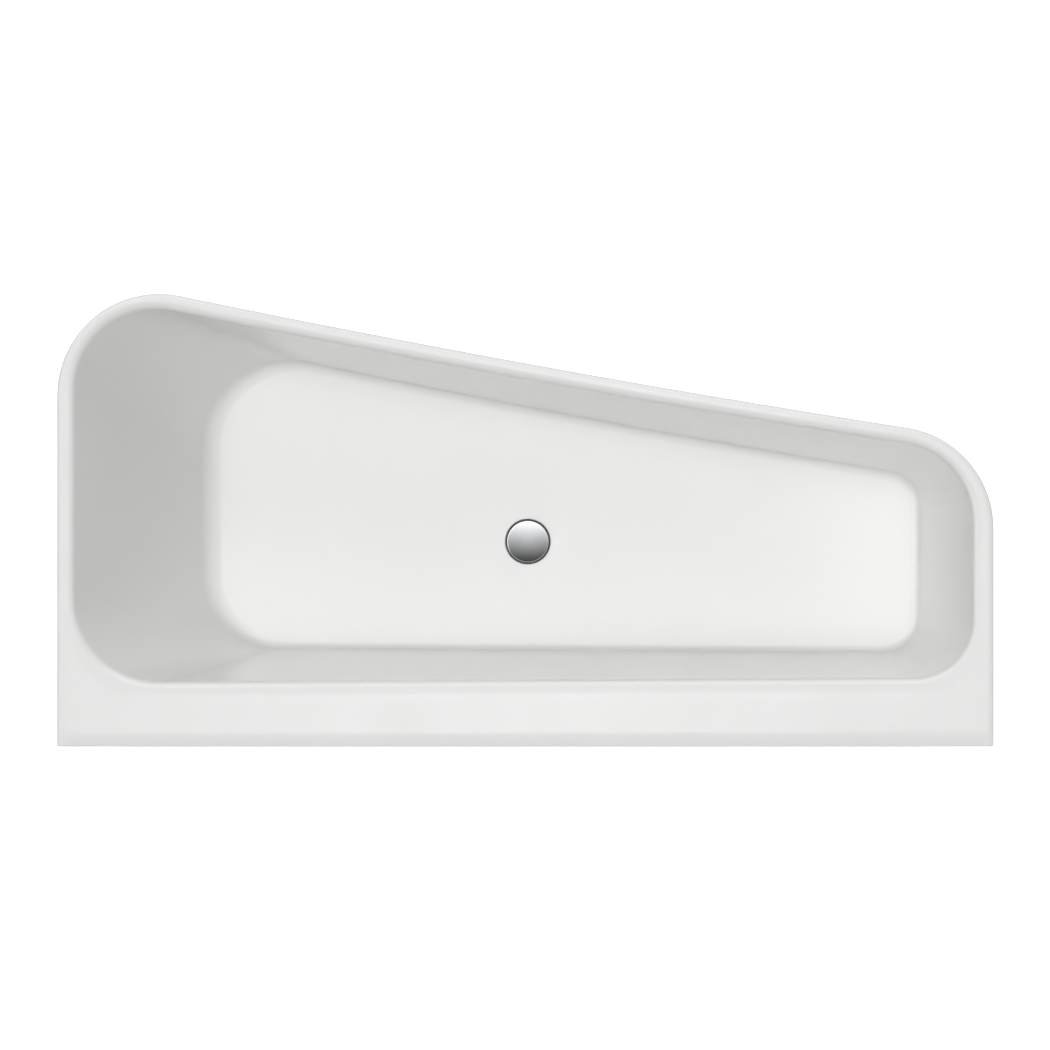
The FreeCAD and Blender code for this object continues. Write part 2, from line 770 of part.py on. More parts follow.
def make_trap_elbow():
    """The elbow stands in the trap's socket and ends in a socket for the drain pipe."""
    start = riser + UP * elbow_start_z
    turn_centre = elbow_turn + UP * elbow_start_z
    turn_end = elbow_turn + UP * drain_z
    outlet = elbow_end + UP * drain_z
    low_z = bend_z + pipe_wall + socket_play
    bore = pipe_radius - pipe_wall
    solids = [
        cylinder(pipe_radius, low_z, elbow_start_z, riser),
        bent(pipe_radius, start, turn_centre, Vector(-1, 0, 0), 90),
        Part.makeCylinder(pipe_radius, elbow_run, turn_end, TO_WALL),
        Part.makeCylinder(pipe_radius + nut_reach, socket_reach, outlet, TO_WALL),
    ]
    seat = outlet + TO_WALL * pipe_wall
    holes = [
        cylinder(bore, low_z - overrun, elbow_start_z, riser),
        bent(bore, start, turn_centre, Vector(-1, 0, 0), 90),
        Part.makeCylinder(bore, elbow_run + socket_reach, turn_end, TO_WALL),
        Part.makeCylinder(pipe_radius + socket_play, socket_depth + overrun, seat, TO_WALL),
    ]
    return join(solids).cut(holes)


def make_pipe_nut(start, way):
    """A nut over a socket that begins at start and opens along way."""
    inner = pipe_radius + nut_reach + thread_clearance
    end = socket_reach + socket_play + union_lip
    low = start + way * (end - pipe_nut_length)
    body = Part.makeCylinder(inner + pipe_nut_wall, pipe_nut_length, low, way)
    thread = Part.makeCylinder(inner, pipe_nut_length - union_lip, low, way)
    hole = Part.makeCylinder(pipe_radius + socket_play, pipe_nut_length + overrun, start, way)
    return body.cut([thread, hole])


def make_drain_pipe():
    """The pipe, with the moulded collar that stops its spigot in the drain's socket."""
    start = elbow_end + TO_WALL * (pipe_wall + socket_play) + UP * drain_z
    length = half_width - drain_pipe_wall_gap - start.y
    bar = Part.makeCylinder(pipe_radius, length, start, TO_WALL)
    collar_start = start + TO_WALL * (length - drain_spigot_length - drain_collar_width)
    collar = Part.makeCylinder(drain_collar_radius, drain_collar_width, collar_start, TO_WALL)
    low = start - TO_WALL * overrun
    bore = Part.makeCylinder(pipe_radius - pipe_wall, length + 2 * overrun, low, TO_WALL)
    return join([bar, collar]).cut(bore)


# The pieces, from the shell down

write("bath_shell", make_bath_shell())
write("skirt", make_skirt())
write("bond_bead", make_bond_bead())
write("front_batten", make_batten(FRONT))
write("head_batten", make_batten(HEAD))
write("foot_batten", make_batten(FOOT))
write("ledge_board", make_ledge_board())
write("resin_bed", make_resin_bed())

head_legs = bearer_legs(head_bearer_x)
foot_legs = bearer_legs(foot_bearer_x)
board_screws = bearer_screws(head_bearer_x) + bearer_screws(foot_bearer_x)
legs = dict(zip(
    ("head_front", "head_wall", "foot_front", "foot_wall", "middle"), head_legs + foot_legs + (middle_leg,)
))
write("base_board", make_base_board(legs.values(), board_screws + plate_screws()))
write("head_bearer", make_bearer(head_bearer_x))
write("foot_bearer", make_bearer(foot_bearer_x))
write("leg_plate", make_leg_plate())
screws = [make_screw(place, web_bottom_z) for place in board_screws]
screws += [make_screw(place, plate_bottom_z) for place in plate_screws()]
write("frame_screws", screws)

leg_nuts, lock_nuts = [], []
for name, place in legs.items():
    seat_z = plate_bottom_z if name == "middle" else web_bottom_z
    leg_nuts.append(nut(seat_z, leg_nut_height, place))
    lock_nuts.append(nut(seat_z - leg_nut_height, lock_nut_height, place))
    write("leg_" + name, make_leg(place))
    write("pad_" + name, make_pad(place))
write("leg_nuts", leg_nuts)
write("lock_nuts", lock_nuts)

write("waste_body", make_waste_body())
write("waste_gasket", tube(recess_radius - gasket_edge_clearance, waste_hole_radius, recess_z, gasket_top_z))
write("under_gasket", tube(back_nut_radius, tail_radius + thread_clearance, back_nut_top_z, recess_under_z))
back_nut_bottom_z = back_nut_top_z - back_nut_height
write("back_nut", tube(back_nut_radius, tail_radius + thread_clearance, back_nut_bottom_z, back_nut_top_z))
write("latch", make_latch())
write("latch_spring", make_latch_spring())
write("plug", make_plug())
write("plug_seal", tube(plug_seal_radius, plug_seal_radius - plug_seal_width, plug_seal_z, plug_z))

write("union_nut", make_union_nut())
write("trap_washer", tube(tail_radius, pipe_radius - pipe_wall, washer_bottom_z, tail_bottom_z))
write("trap_body", make_trap_body())
write("trap_elbow", make_trap_elbow())
write("elbow_nut", make_pipe_nut(riser + UP * bend_z, UP))
write("drain_nut", make_pipe_nut(elbow_end + UP * drain_z, TO_WALL))
write("drain_pipe", make_drain_pipe())

for name, place in legs.items():
    print("leg", name, round(place.x, 2), round(place.y, 2))
print("drain end", round(half_width - drain_pipe_wall_gap, 2), "at", round(drain_z, 2))
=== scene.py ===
import functools
import json
import math

import bmesh
import bpy
from mathutils import Matrix, Vector


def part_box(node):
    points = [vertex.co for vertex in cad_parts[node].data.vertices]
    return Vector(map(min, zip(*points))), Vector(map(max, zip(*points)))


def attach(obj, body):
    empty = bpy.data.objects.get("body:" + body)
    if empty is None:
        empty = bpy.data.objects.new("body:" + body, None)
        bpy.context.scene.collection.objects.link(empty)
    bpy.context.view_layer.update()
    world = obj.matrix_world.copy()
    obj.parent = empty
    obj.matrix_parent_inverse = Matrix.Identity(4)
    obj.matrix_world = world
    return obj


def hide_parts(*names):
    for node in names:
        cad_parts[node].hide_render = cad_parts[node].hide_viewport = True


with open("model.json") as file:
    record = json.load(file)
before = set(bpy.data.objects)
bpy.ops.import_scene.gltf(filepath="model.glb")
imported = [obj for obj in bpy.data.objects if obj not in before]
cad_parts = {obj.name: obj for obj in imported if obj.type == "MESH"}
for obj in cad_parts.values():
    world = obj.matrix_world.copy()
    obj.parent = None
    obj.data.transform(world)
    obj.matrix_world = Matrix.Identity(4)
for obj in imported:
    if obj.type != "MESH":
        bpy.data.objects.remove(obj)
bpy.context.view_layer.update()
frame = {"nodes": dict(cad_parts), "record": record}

bl_info = {
    "name": "Back-to-wall bath",
    "version": (1, 0, 0),
    "blender": (4, 5, 0),
    "location": "View3D > Sidebar > Bath",
    "description": "Models and finishes a tapering acrylic bath with its skirt, frame, waste and trap",
    "category": "Add Mesh",
}

UP = Vector((0, 0, 1))
ORIGIN = Vector((0, 0, 0))
# Points this close are one point, and points this close to a cutting plane lie on it
SAME_POINT, ON_PLANE = 1e-6, 1e-7


@functools.cache
def corners(node):
    return tuple(Vector(corner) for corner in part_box(node))


def low(node):
    return corners(node)[0]


def high(node):
    return corners(node)[1]


def middle(node):
    return (low(node) + high(node)) / 2


# Sizes and colours that a user would change

def length(name, text, default):
    return bpy.props.FloatProperty(
        name=name, description=text, default=default, min=0.0, unit="LENGTH", precision=4
    )


def corner_radii(name, *default):
    order = "Radii at head and front, head and wall, foot and wall, foot and front"
    return bpy.props.FloatVectorProperty(
        name=name, description=order, default=default, size=4, unit="LENGTH"
    )


def turn(name, text, degrees):
    return bpy.props.FloatProperty(
        name=name, description=text, default=math.radians(degrees), subtype="ANGLE"
    )


def colour(name, text, *default):
    return bpy.props.FloatVectorProperty(
        name=name, description=text, default=default, size=3, min=0.0, max=1.0, subtype="COLOR"
    )


class BathShellSizes(bpy.types.PropertyGroup):
    """The rim and the basin, in the terms that a bath maker measures them."""

    rim_corner: length("Rim corner", "Radius of the two rounded corners in the room", 0.185)
    foot_side: length("Foot side", "Straight length of the foot side, from the wall", 0.396)
    front_hollow: length("Front hollow", "Radius of the slanted front's slight hollow", 27.0)
    wall_corner: length("Wall corner", "Radius of the corners at the wall", 0.003)
    rim_edge: length("Rim edge", "Rounding of the rim's outer edge", 0.009)
    wall_edge: length("Wall edge", "Rounding of the edge at the wall", 0.0025)
    lip: length("Lip depth", "Depth of the rim's turned-down lip", 0.030)
    sheet: length("Sheet", "Thickness of the acrylic with its backing", 0.008)
    lip_round: length("Lip rounding", "Rounding of the lip's lower edge", 0.0015)
    basin: length("Basin depth", "Depth of the basin at the edge of its floor", 0.430)
    floor_fall: length("Floor fall", "How far the floor falls to the waste", 0.006)
    mouth_head: length("Mouth at head", "Inset of the mouth at the head end", 0.028)
    mouth_wall: length("Mouth at wall", "Inset of the mouth at the wall side", 0.120)
    mouth_foot: length("Mouth at foot", "Inset of the mouth at the foot end", 0.038)
    mouth_front: length("Mouth at front", "Inset of the mouth at the front", 0.028)
    floor_head: length("Floor at head", "Inset of the floor at the head end", 0.238)
    floor_wall: length("Floor at wall", "Inset of the floor at the wall side", 0.163)
    floor_foot: length("Floor at foot", "Inset of the floor at the foot end", 0.091)
    floor_front: length("Floor at front", "Inset of the floor at the front", 0.066)
    mouth_wall_lean: turn("Mouth lean", "Turn of the mouth's wall side, seen from above", 0.33)
    floor_wall_lean: turn("Floor lean", "Turn of the floor's wall side, seen from above", -0.44)
    floor_front_lean: turn("Front lean", "Turn of the floor's front, seen from above", -0.6)
    mouth_roll: length("Mouth roll", "Radius of the rolled edge of the mouth", 0.014)
    head_bowl: length("Head bowl", "Rounding between the backrest and the floor", 0.045)
    side_bowl: length("Side bowl", "Rounding between the other sides and the floor", 0.018)
    mouth_corners: corner_radii("Mouth corners", 0.147, 0.153, 0.106, 0.144)
    floor_corners: corner_radii("Floor corners", 0.168, 0.148, 0.072, 0.064)


class BathFittingSizes(bpy.types.PropertyGroup):
    """The skirt, the waste, the legs with their nuts and pads, and the trap's nuts."""

    skirt_sheet: length("Skirt sheet", "Thickness of the skirt", 0.006)
    skirt_taper: length("Skirt taper", "How far the skirt's foot stands in", 0.030)
    skirt_seam: length("Skirt seam", "Gap between the lip and the skirt", 0.0003)
    skirt_wall_gap: length("Wall gap", "Gap between the skirt and the wall", 0.002)
    skirt_round: length("Skirt rounding", "Rounding of the skirt's lower edge", 0.0012)
    recess: length("Recess radius", "Radius of the recess round the waste", 0.044)
    recess_depth: length("Recess depth", "Depth of the recess round the waste", 0.008)
    recess_round: length("Recess rounding", "Rounding of the recess's edge", 0.0026)
    waste_hole: length("Waste hole", "Radius of the hole in the shell", 0.026)
    cover_round: length("Cover rounding", "Rounding of the cover's edge", 0.0006)
    cover_dome: length("Cover dome", "Rise of the cover's dome", 0.0030)
    stem: length("Stem radius", "Radius of the cover's stem", 0.004)
    thread_pitch: length("Thread pitch", "Pitch of the threaded legs", 0.00175)
    thread_depth: length("Thread depth", "Depth of the legs' thread", 0.0009)
    small_round: length("Small rounding", "Rounding of small metal edges", 0.0006)
    leg_radius: length("Leg radius", "Radius of the legs' thread", 0.006)
    leg_play: length("Leg play", "Clearance round the legs", 0.00008)
    leg_gap: length("Leg gap", "Gap between the legs' hexagon and the pad", 0.0003)
    leg_hex_width: length("Hexagon width", "Width of the legs' hexagon across its flats", 0.017)
    leg_hex_height: length("Hexagon height", "Height of the legs' hexagon", 0.008)
    nut_width: length("Nut width", "Width of the legs' nuts across their flats", 0.019)
    leg_nut_height: length("Long nut", "Height of the nuts under the steel", 0.018)
    lock_nut_height: length("Lock nut", "Height of the lock nuts", 0.006)
    pad_socket: length("Pad socket", "Depth of the legs' socket in the pads", 0.008)
    pad_neck: length("Pad neck", "Radius of the top of the pads", 0.017)
    pad_rim: length("Pad rim", "Height of the pads' rim", 0.005)
    pad_edge: length("Pad edge", "Slant of the pads' lower edge", 0.0015)
    pad_rib_width: length("Pad rib", "Width of the pads' ribs", 0.0018)
    pad_ribs: bpy.props.IntProperty(name="Pad ribs", description="Ribs on each pad", default=12, min=3)
    tail_bore: length("Tail bore", "Radius of the thread round the waste's tail", 0.0241)
    collar_bore: length("Collar bore", "Radius round the trap's collar", 0.0273)
    socket_bore: length("Socket bore", "Radius round the pipe sockets", 0.0244)
    pipe_bore: length("Pipe bore", "Radius round the pipes", 0.0203)
    nut_lip: length("Nut lip", "Thickness of the hand nuts' lip", 0.003)
    grip_depth: length("Grip depth", "Depth of the hollows in the hand nuts", 0.0011)
    grip_edge: length("Grip edge", "Slant of the hand nuts' edges", 0.0012)


class BathColours(bpy.types.PropertyGroup):
    """The finishes' main colours."""

    acrylic: colour("Acrylic", "Glossy white of the bath and its skirt", 0.85, 0.85, 0.843)
    fibre: colour("Fibre backing", "Resin and glass fibre behind the acrylic", 0.62, 0.62, 0.53)
    chrome: colour("Chrome", "Plated cover and flange", 0.86, 0.87, 0.88)
    zinc: colour("Zinc", "Plated steel of the frame", 0.56, 0.57, 0.58)
    # Rubber is black of its own, but the gasket that shows in the gap round the waste cover is also painted
    # shade: its black stands in for the shade down in the recess
    rubber: colour("Rubber", "Washers and gaskets", 0.06, 0.06, 0.062)
    pad: colour("Pad", "Plastic of the levelling pads", 0.045, 0.047, 0.05)
    pipe: colour("Pipe", "Plastic of the trap and pipe", 0.74, 0.74, 0.71)
    chipboard: colour("Chipboard", "Boards under the shell", 0.46, 0.31, 0.17)
    timber: colour("Timber", "Battens along the skirt", 0.55, 0.37, 0.20)
    brass: colour("Brass", "Back nut of the waste", 0.69, 0.50, 0.20)


def shell_sizes():
    return bpy.context.scene.bath_shell_sizes


def fitting_sizes():
    return bpy.context.scene.bath_fitting_sizes


def colours():
    return bpy.context.scene.bath_colours


# Procedural finishes

ADHESIVE_TONE = (0.62, 0.60, 0.54)
LATCH_TONE = (0.12, 0.12, 0.13)
# How much of the pipes' colour their nuts have
NUT_SHADE = 0.96
# How glass strands stretch the pattern, and how strongly they stand out, lying one way and the other
STRAND_LAYS = (((1.0, 0.12, 0.6), 0.55), ((0.12, 1.0, 0.6), 0.45))


class Finish:
    """A material under construction: its node tree and its shader."""

    def __init__(self, name, base, roughness, metallic=0.0, **sockets):
        self.base = tuple(base)
        self.material = bpy.data.materials.new(name)
        self.material.use_nodes = True
        self.nodes = self.material.node_tree.nodes
        self.links = self.material.node_tree.links
        self.shader = self.nodes["Principled BSDF"]
        self.shader.inputs["Base Color"].default_value = (*self.base, 1)
        self.shader.inputs["Roughness"].default_value = roughness
        self.shader.inputs["Metallic"].default_value = metallic
        for socket, value in sockets.items():
            self.shader.inputs[socket.replace("_", " ")].default_value = value
        self.place = self.nodes.new("ShaderNodeTexCoord").outputs["Object"]

    def stretched(self, scale):
        node = self.nodes.new("ShaderNodeMapping")
        node.inputs["Scale"].default_value = scale
        self.links.new(self.place, node.inputs["Vector"])
        return node.outputs["Vector"]

    def noise(self, scale, detail=3.0, stretch=None):
        node = self.nodes.new("ShaderNodeTexNoise")
        node.inputs["Scale"].default_value = scale
        node.inputs["Detail"].default_value = detail
        self.links.new(self.stretched(stretch) if stretch else self.place, node.inputs["Vector"])
        return node.outputs["Fac"]

    def cells(self, scale, stretch=None, feature="F1", output="Color"):
        node = self.nodes.new("ShaderNodeTexVoronoi")
        node.feature = feature
        node.inputs["Scale"].default_value = scale
        self.links.new(self.stretched(stretch) if stretch else self.place, node.inputs["Vector"])
        return node.outputs[output]

    def mottle(self, value, *stops):
        """Shades of the base colour: each stop is a place on the pattern and a factor."""
        node = self.nodes.new("ShaderNodeValToRGB")
        points = node.color_ramp.elements
        while len(points) < len(stops):
            points.new(0.5)
        for point, (place, factor) in zip(points, stops):
            point.position = place
            point.color = (*shade(self.base, factor), 1)
        self.links.new(value, node.inputs["Fac"])
        self.links.new(node.outputs["Color"], self.shader.inputs["Base Color"])

    def rough(self, value, smooth, coarse):
        node = self.nodes.new("ShaderNodeMapRange")
        node.inputs["To Min"].default_value = smooth
        node.inputs["To Max"].default_value = coarse
        self.links.new(value, node.inputs["Value"])
        self.links.new(node.outputs["Result"], self.shader.inputs["Roughness"])

    def bump(self, value, height, strength):
        node = self.nodes.new("ShaderNodeBump")
        node.inputs["Distance"].default_value = height
        node.inputs["Strength"].default_value = strength
        normal = self.shader.inputs["Normal"]
        if normal.is_linked:
            self.links.new(normal.links[0].from_socket, node.inputs["Normal"])
        self.links.new(value, node.inputs["Height"])
        self.links.new(node.outputs["Normal"], normal)


def shade(base, factor):
    return tuple(min(part * factor, 1.0) for part in base)


def acrylic_finish():
    """Cast acrylic: deep gloss, with the faint ripple of a formed sheet."""
    finish = Finish("cast acrylic", colours().acrylic, roughness=0.09, IOR=1.49)
    finish.mottle(finish.noise(scale=3.0), (0.3, 0.992), (0.7, 1.004))
    finish.rough(finish.noise(scale=9.0), smooth=0.07, coarse=0.12)
    finish.bump(finish.noise(scale=14.0, detail=1.0), height=0.0005, strength=0.12)
    return finish.material


def fibre_finish():
    """Sprayed resin with chopped glass: strands lying every way over a wavy coat."""
    finish = Finish("sprayed glass fibre", colours().fibre, roughness=0.42)
    finish.mottle(finish.noise(scale=34.0, detail=5.0), (0.3, 0.87), (0.7, 1.1))
    finish.rough(finish.noise(scale=60.0), smooth=0.3, coarse=0.6)
    for lay, strength in STRAND_LAYS:
        strands = finish.cells(scale=150.0, stretch=lay, feature="DISTANCE_TO_EDGE", output="Distance")
        finish.bump(strands, height=0.0012, strength=strength)
    finish.bump(finish.noise(scale=11.0), height=0.006, strength=0.5)
    return finish.material


def chrome_finish():
    finish = Finish("polished chrome", colours().chrome, roughness=0.05, metallic=1.0)
    finish.rough(finish.noise(scale=160.0), smooth=0.035, coarse=0.075)
    finish.mottle(finish.noise(scale=40.0), (0.3, 0.97), (0.7, 1.0))
    return finish.material


def zinc_finish():
    """Bright zinc plating with its faint crystal pattern."""
    finish = Finish("zinc plate", colours().zinc, roughness=0.34, metallic=1.0)
    finish.mottle(finish.cells(scale=95.0), (0.1, 0.84), (0.9, 1.12))
    finish.rough(finish.noise(scale=120.0), smooth=0.26, coarse=0.46)
    finish.bump(finish.noise(scale=300.0), height=0.0002, strength=0.3)
    return finish.material


def brass_finish():
    finish = Finish("turned brass", colours().brass, roughness=0.28, metallic=1.0)
    finish.mottle(finish.noise(scale=70.0), (0.3, 0.88), (0.7, 1.06))
    marks = finish.noise(scale=220.0, detail=2.0, stretch=(1.0, 1.0, 14.0))
    finish.rough(marks, smooth=0.2, coarse=0.42)
    return finish.material


# Its black also serves as painted shade in the gap round the waste cover
def rubber_finish():
    finish = Finish("black rubber", colours().rubber, roughness=0.75)
    finish.rough(finish.noise(scale=140.0), smooth=0.62, coarse=0.85)
    finish.mottle(finish.noise(scale=60.0), (0.3, 0.8), (0.7, 1.5))
    finish.bump(finish.noise(scale=900.0), height=0.0002, strength=0.4)
    return finish.material


def moulded_finish(name, base, smooth, coarse):
    """Injection-moulded plastic: an even colour with a fine spark-eroded grain."""
    finish = Finish(name, base, roughness=smooth)
    finish.mottle(finish.noise(scale=35.0), (0.3, 0.95), (0.7, 1.04))
    finish.rough(finish.noise(scale=180.0), smooth, coarse)
    finish.bump(finish.noise(scale=1400.0), height=0.0001, strength=0.35)
    return finish.material


def pad_finish():
    return moulded_finish("pad plastic", colours().pad, smooth=0.4, coarse=0.6)


def chipboard_finish():
    """Pressed wood chips of mixed tone."""
    finish = Finish("chipboard", colours().chipboard, roughness=0.8)
    chips = finish.cells(scale=170.0, stretch=(1.0, 0.45, 1.0))
    finish.mottle(chips, (0.15, 0.62), (0.5, 1.0), (0.85, 1.45))
    finish.bump(chips, height=0.0006, strength=0.5)
    finish.bump(finish.noise(scale=400.0), height=0.0003, strength=0.4)
    return finish.material


def timber_finish(name, grain):
    """Sawn softwood with its grain along the piece."""
    finish = Finish(name, colours().timber, roughness=0.7)
    rings = finish.noise(scale=28.0, detail=6.0, stretch=grain)
    finish.mottle(rings, (0.35, 0.7), (0.5, 1.0), (0.68, 1.35))
    finish.rough(finish.noise(scale=90.0), smooth=0.6, coarse=0.85)
    finish.bump(rings, height=0.0008, strength=0.5)
    return finish.material


def adhesive_finish():
    finish = Finish("bonding paste", ADHESIVE_TONE, roughness=0.5)
    finish.mottle(finish.noise(scale=50.0), (0.3, 0.85), (0.7, 1.1))
    finish.bump(finish.noise(scale=45.0, detail=4.0), height=0.003, strength=0.7)
    return finish.material


# Mesh helpers

def piece(name, mesh, body, slot, *replaced, finishes, sharp_over=40.0):
    """A finished object from a bmesh, riding on its body."""
    smooth(mesh, sharp_over)
    data = bpy.data.meshes.new(name)
    mesh.to_mesh(data)
    mesh.free()
    for finish in finishes:
        data.materials.append(finish)
    made = bpy.data.objects.new(name, data)
    bpy.context.scene.collection.objects.link(made)
    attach(made, body)
    if replaced:
        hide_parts(*replaced)


def first_ring(mesh, points, closed):
    """The vertices and edges of a first outline."""
    verts = [mesh.verts.new(point) for point in points]
    pairs = zip(verts, verts[1:] + verts[:1]) if closed else zip(verts, verts[1:])
    return verts, [mesh.edges.new(pair) for pair in pairs]


def next_ring(mesh, verts, edges, points):
    """The outline drawn on to new places, one for each of its vertices."""
    out = bmesh.ops.extrude_edge_only(mesh, edges=edges)["geom"]
    fresh = {item for item in out if isinstance(item, bmesh.types.BMVert)}
    moved = []
    for vert, point in zip(verts, points):
        twin = next(edge.other_vert(vert) for edge in vert.link_edges if edge.other_vert(vert) in fresh)
        twin.co = point
        moved.append(twin)
    drawn = [item for item in out if isinstance(item, bmesh.types.BMEdge)]
    return moved, [edge for edge in drawn if set(edge.verts) <= fresh]


def drawn_rings(rings, closed=True):
    """A bmesh drawn through outlines, the last one joined to the first."""
    mesh = bmesh.new()
    verts, edges = first_ring(mesh, rings[0], closed)
    opening = list(edges)
    for points in rings[1:]:
        verts, edges = next_ring(mesh, verts, edges, points)
    bmesh.ops.bridge_loops(mesh, edges=opening + edges)
    return mesh


def close_ends(mesh):
    open_edges = [edge for edge in mesh.edges if edge.is_boundary]
    bmesh.ops.holes_fill(mesh, edges=open_edges, sides=0)


def smooth(mesh, sharp_over):
    """Outward faces, shaded smooth but for edges that turn by more than sharp_over degrees."""
    bmesh.ops.recalc_face_normals(mesh, faces=mesh.faces)
    for face in mesh.faces:
        face.smooth = True
    limit = math.radians(sharp_over)
    for edge in mesh.edges:
        if edge.is_manifold and edge.calc_face_angle(0.0) > limit:
            edge.smooth = False


def turned(profile, centre, steps):
    """A solid spun from (radius, height) points that start and end on its upright line."""
    mesh = bmesh.new()
    verts = [mesh.verts.new((centre.x + radius, centre.y, z)) for radius, z in profile]
    edges = [mesh.edges.new(pair) for pair in zip(verts, verts[1:])]
    bmesh.ops.spin(
        mesh, geom=verts + edges, cent=(centre.x, centre.y, 0), axis=UP, angle=math.tau,
        steps=steps, use_merge=True,
    )
    bmesh.ops.remove_doubles(mesh, verts=mesh.verts, dist=SAME_POINT)
    return mesh


def wrapped(rows, centre, steps=72):
    """A ring about an upright line, from rows that give a radius and a height for each angle."""
    rings = []
    for row in rows:
        points = []
        for step in range(steps):
            angle = math.tau * step / steps
            radius, z = row(angle)
            x, y = centre.x + radius * math.cos(angle), centre.y + radius * math.sin(angle)
            points.append(Vector((x, y, z)))
        rings.append(points)
    return drawn_rings(rings)


def level(radius, z):
    """A row for wrapped() that is a plain circle."""
    return lambda angle: (radius, z)


def merged(first, *others):
    """Several bmeshes as one, for a piece made of more than one solid form."""
    for other in others:
        data = bpy.data.meshes.new("part")
        other.to_mesh(data)
        other.free()
        first.from_mesh(data)
        bpy.data.meshes.remove(data)
    return first


def rounded_profile(points, radius, segments=4):
    """A profile with its corners rounded; a rounding takes less than half of a short side."""
    most_share = 0.45
    out = [points[0]]
    for before, corner, after in zip(points, points[1:], points[2:]):
        here = Vector(corner)
        one, two = Vector(before) - here, Vector(after) - here
        reach = min(radius, one.length * most_share, two.length * most_share)
        one, two = one.normalized(), two.normalized()
        start, end = here + one * reach, here + two * reach
        for step in range(segments + 1):
            share = step / segments
            blend = start * (1 - share) ** 2 + here * 2 * share * (1 - share) + end * share ** 2
            out.append(tuple(blend))
    out.append(points[-1])
    return out


# The bath's outlines, seen from above

HEAD, WALL, FOOT, FRONT = range(4)
CORNER_SIDES = ((HEAD, FRONT), (HEAD, WALL), (FOOT, WALL), (FOOT, FRONT))
CORNER_STEPS = 22
SIDE_STEPS = (14, 64, 14, 64)


def half_length():
    return high("bath_shell").x


def half_width():
    return high("bath_shell").y


def hollow_centre():
    sizes = shell_sizes()
    head = Vector((half_length() - sizes.rim_corner, sizes.rim_corner - half_width(), 0))
    foot = Vector((sizes.rim_corner - half_length(), half_width() - sizes.foot_side, 0))
    chord = head - foot
    reach = sizes.front_hollow + sizes.rim_corner
    away = Vector((chord.y, -chord.x, 0)).normalized()
    return (head + foot) / 2 + away * math.sqrt(reach ** 2 - (chord.length / 2) ** 2)


def arc_points(centre, radius, start, end, steps):
    """Points on an arc, both ends included."""
    out = []
    for step in range(steps + 1):
        angle = start + (end - start) * step / steps
        out.append(centre + Vector((math.cos(angle), math.sin(angle), 0)) * radius)
    return out


def between(start, end, steps):
    """Points on a straight side, both ends left out."""
    return [start.lerp(end, step / steps) for step in range(1, steps)]


def outline(z, insets, radii, wall_lean=0.0, front_lean=0.0):
    """An outline's corner arcs and sides, counter-clockwise from the head and front corner."""
    sizes = shell_sizes()
    head_x, foot_x = half_length() - insets[HEAD], insets[FOOT] - half_length()
    wall_reach = (half_width() - insets[WALL]) * math.cos(wall_lean)
    front_radius = sizes.front_hollow + insets[FRONT]
    centre = Matrix.Rotation(front_lean, 3, "Z") @ hollow_centre() + UP * z
    centres = []
    for (side, other), radius in zip(CORNER_SIDES, radii):
        x = head_x - radius if side == HEAD else foot_x + radius
        if other == WALL:
            y = (wall_reach - radius + math.sin(wall_lean) * x) / math.cos(wall_lean)
        else:
            y = centre.y + math.sqrt((front_radius + radius) ** 2 - (x - centre.x) ** 2)
        centres.append(Vector((x, y, z)))
    slants = [math.atan2(*(centre - centres[index]).yx) for index in (0, 3)]
    wall_angle = math.pi / 2 + wall_lean
    turns = ((slants[0], 0), (0, wall_angle), (wall_angle, math.pi), (math.pi, slants[1] + math.tau))
    corner_arcs = zip(centres, radii, turns)
    arcs = [arc_points(place, radius, *angles, CORNER_STEPS) for place, radius, angles in corner_arcs]
    sides = [
        between(arcs[0][-1], arcs[1][0], SIDE_STEPS[HEAD]),
        between(arcs[1][-1], arcs[2][0], SIDE_STEPS[WALL]),
        between(arcs[2][-1], arcs[3][0], SIDE_STEPS[FOOT]),
    ]
    start, end = slants[1] + math.pi, slants[0] + math.pi
    front = arc_points(centre, front_radius, start, end, SIDE_STEPS[FRONT])
    sides.append(front[1:-1])
    return arcs, sides


def ring(*args):
    arcs, sides = outline(*args)
    return [point for arc, side in zip(arcs, sides) for point in arc + side]


def round_shift(height, radius, lean):
    """How far a rounding lies from its wall, at this height from the level face."""
    if height >= radius * (1 - math.sin(lean)):
        return 0.0
    height = max(height, 0.0)
    foot = radius * (1 - math.sin(lean)) / math.cos(lean)
    return height * math.tan(lean) + foot - math.sqrt(radius ** 2 - (radius - height) ** 2)


def basin_terms(z, grow):
    """What outline() needs for the basin's surface at height z, or for the sheet's underside."""
    sizes = shell_sizes()
    top = high("bath_shell").z
    floor_z = top - sizes.basin
    share = (z - floor_z) / sizes.basin
    mouths = (sizes.mouth_head, sizes.mouth_wall, sizes.mouth_foot, sizes.mouth_front)
    floors = (sizes.floor_head, sizes.floor_wall, sizes.floor_foot, sizes.floor_front)
    bowls = (sizes.head_bowl, sizes.side_bowl, sizes.side_bowl, sizes.side_bowl)
    insets, shifts = [], []
    for below, above, bowl in zip(floors, mouths, bowls):
        lean = math.atan2(below - above, sizes.basin)
        bowl_shift = round_shift(z - floor_z + grow, bowl + grow, lean)
        roll_shift = round_shift(top - grow - z, sizes.mouth_roll - grow, lean)
        shifts.append(bowl_shift - roll_shift)
        insets.append(below + (above - below) * share - grow / math.cos(lean) + bowl_shift - roll_shift)
    radii = []
    for below, above, (side, other) in zip(sizes.floor_corners, sizes.mouth_corners, CORNER_SIDES):
        radii.append(below + (above - below) * share + grow - (shifts[side] + shifts[other]) / 2)
    wall_lean = sizes.floor_wall_lean + (sizes.mouth_wall_lean - sizes.floor_wall_lean) * share
    return insets, radii, wall_lean, sizes.floor_front_lean * (1 - share)


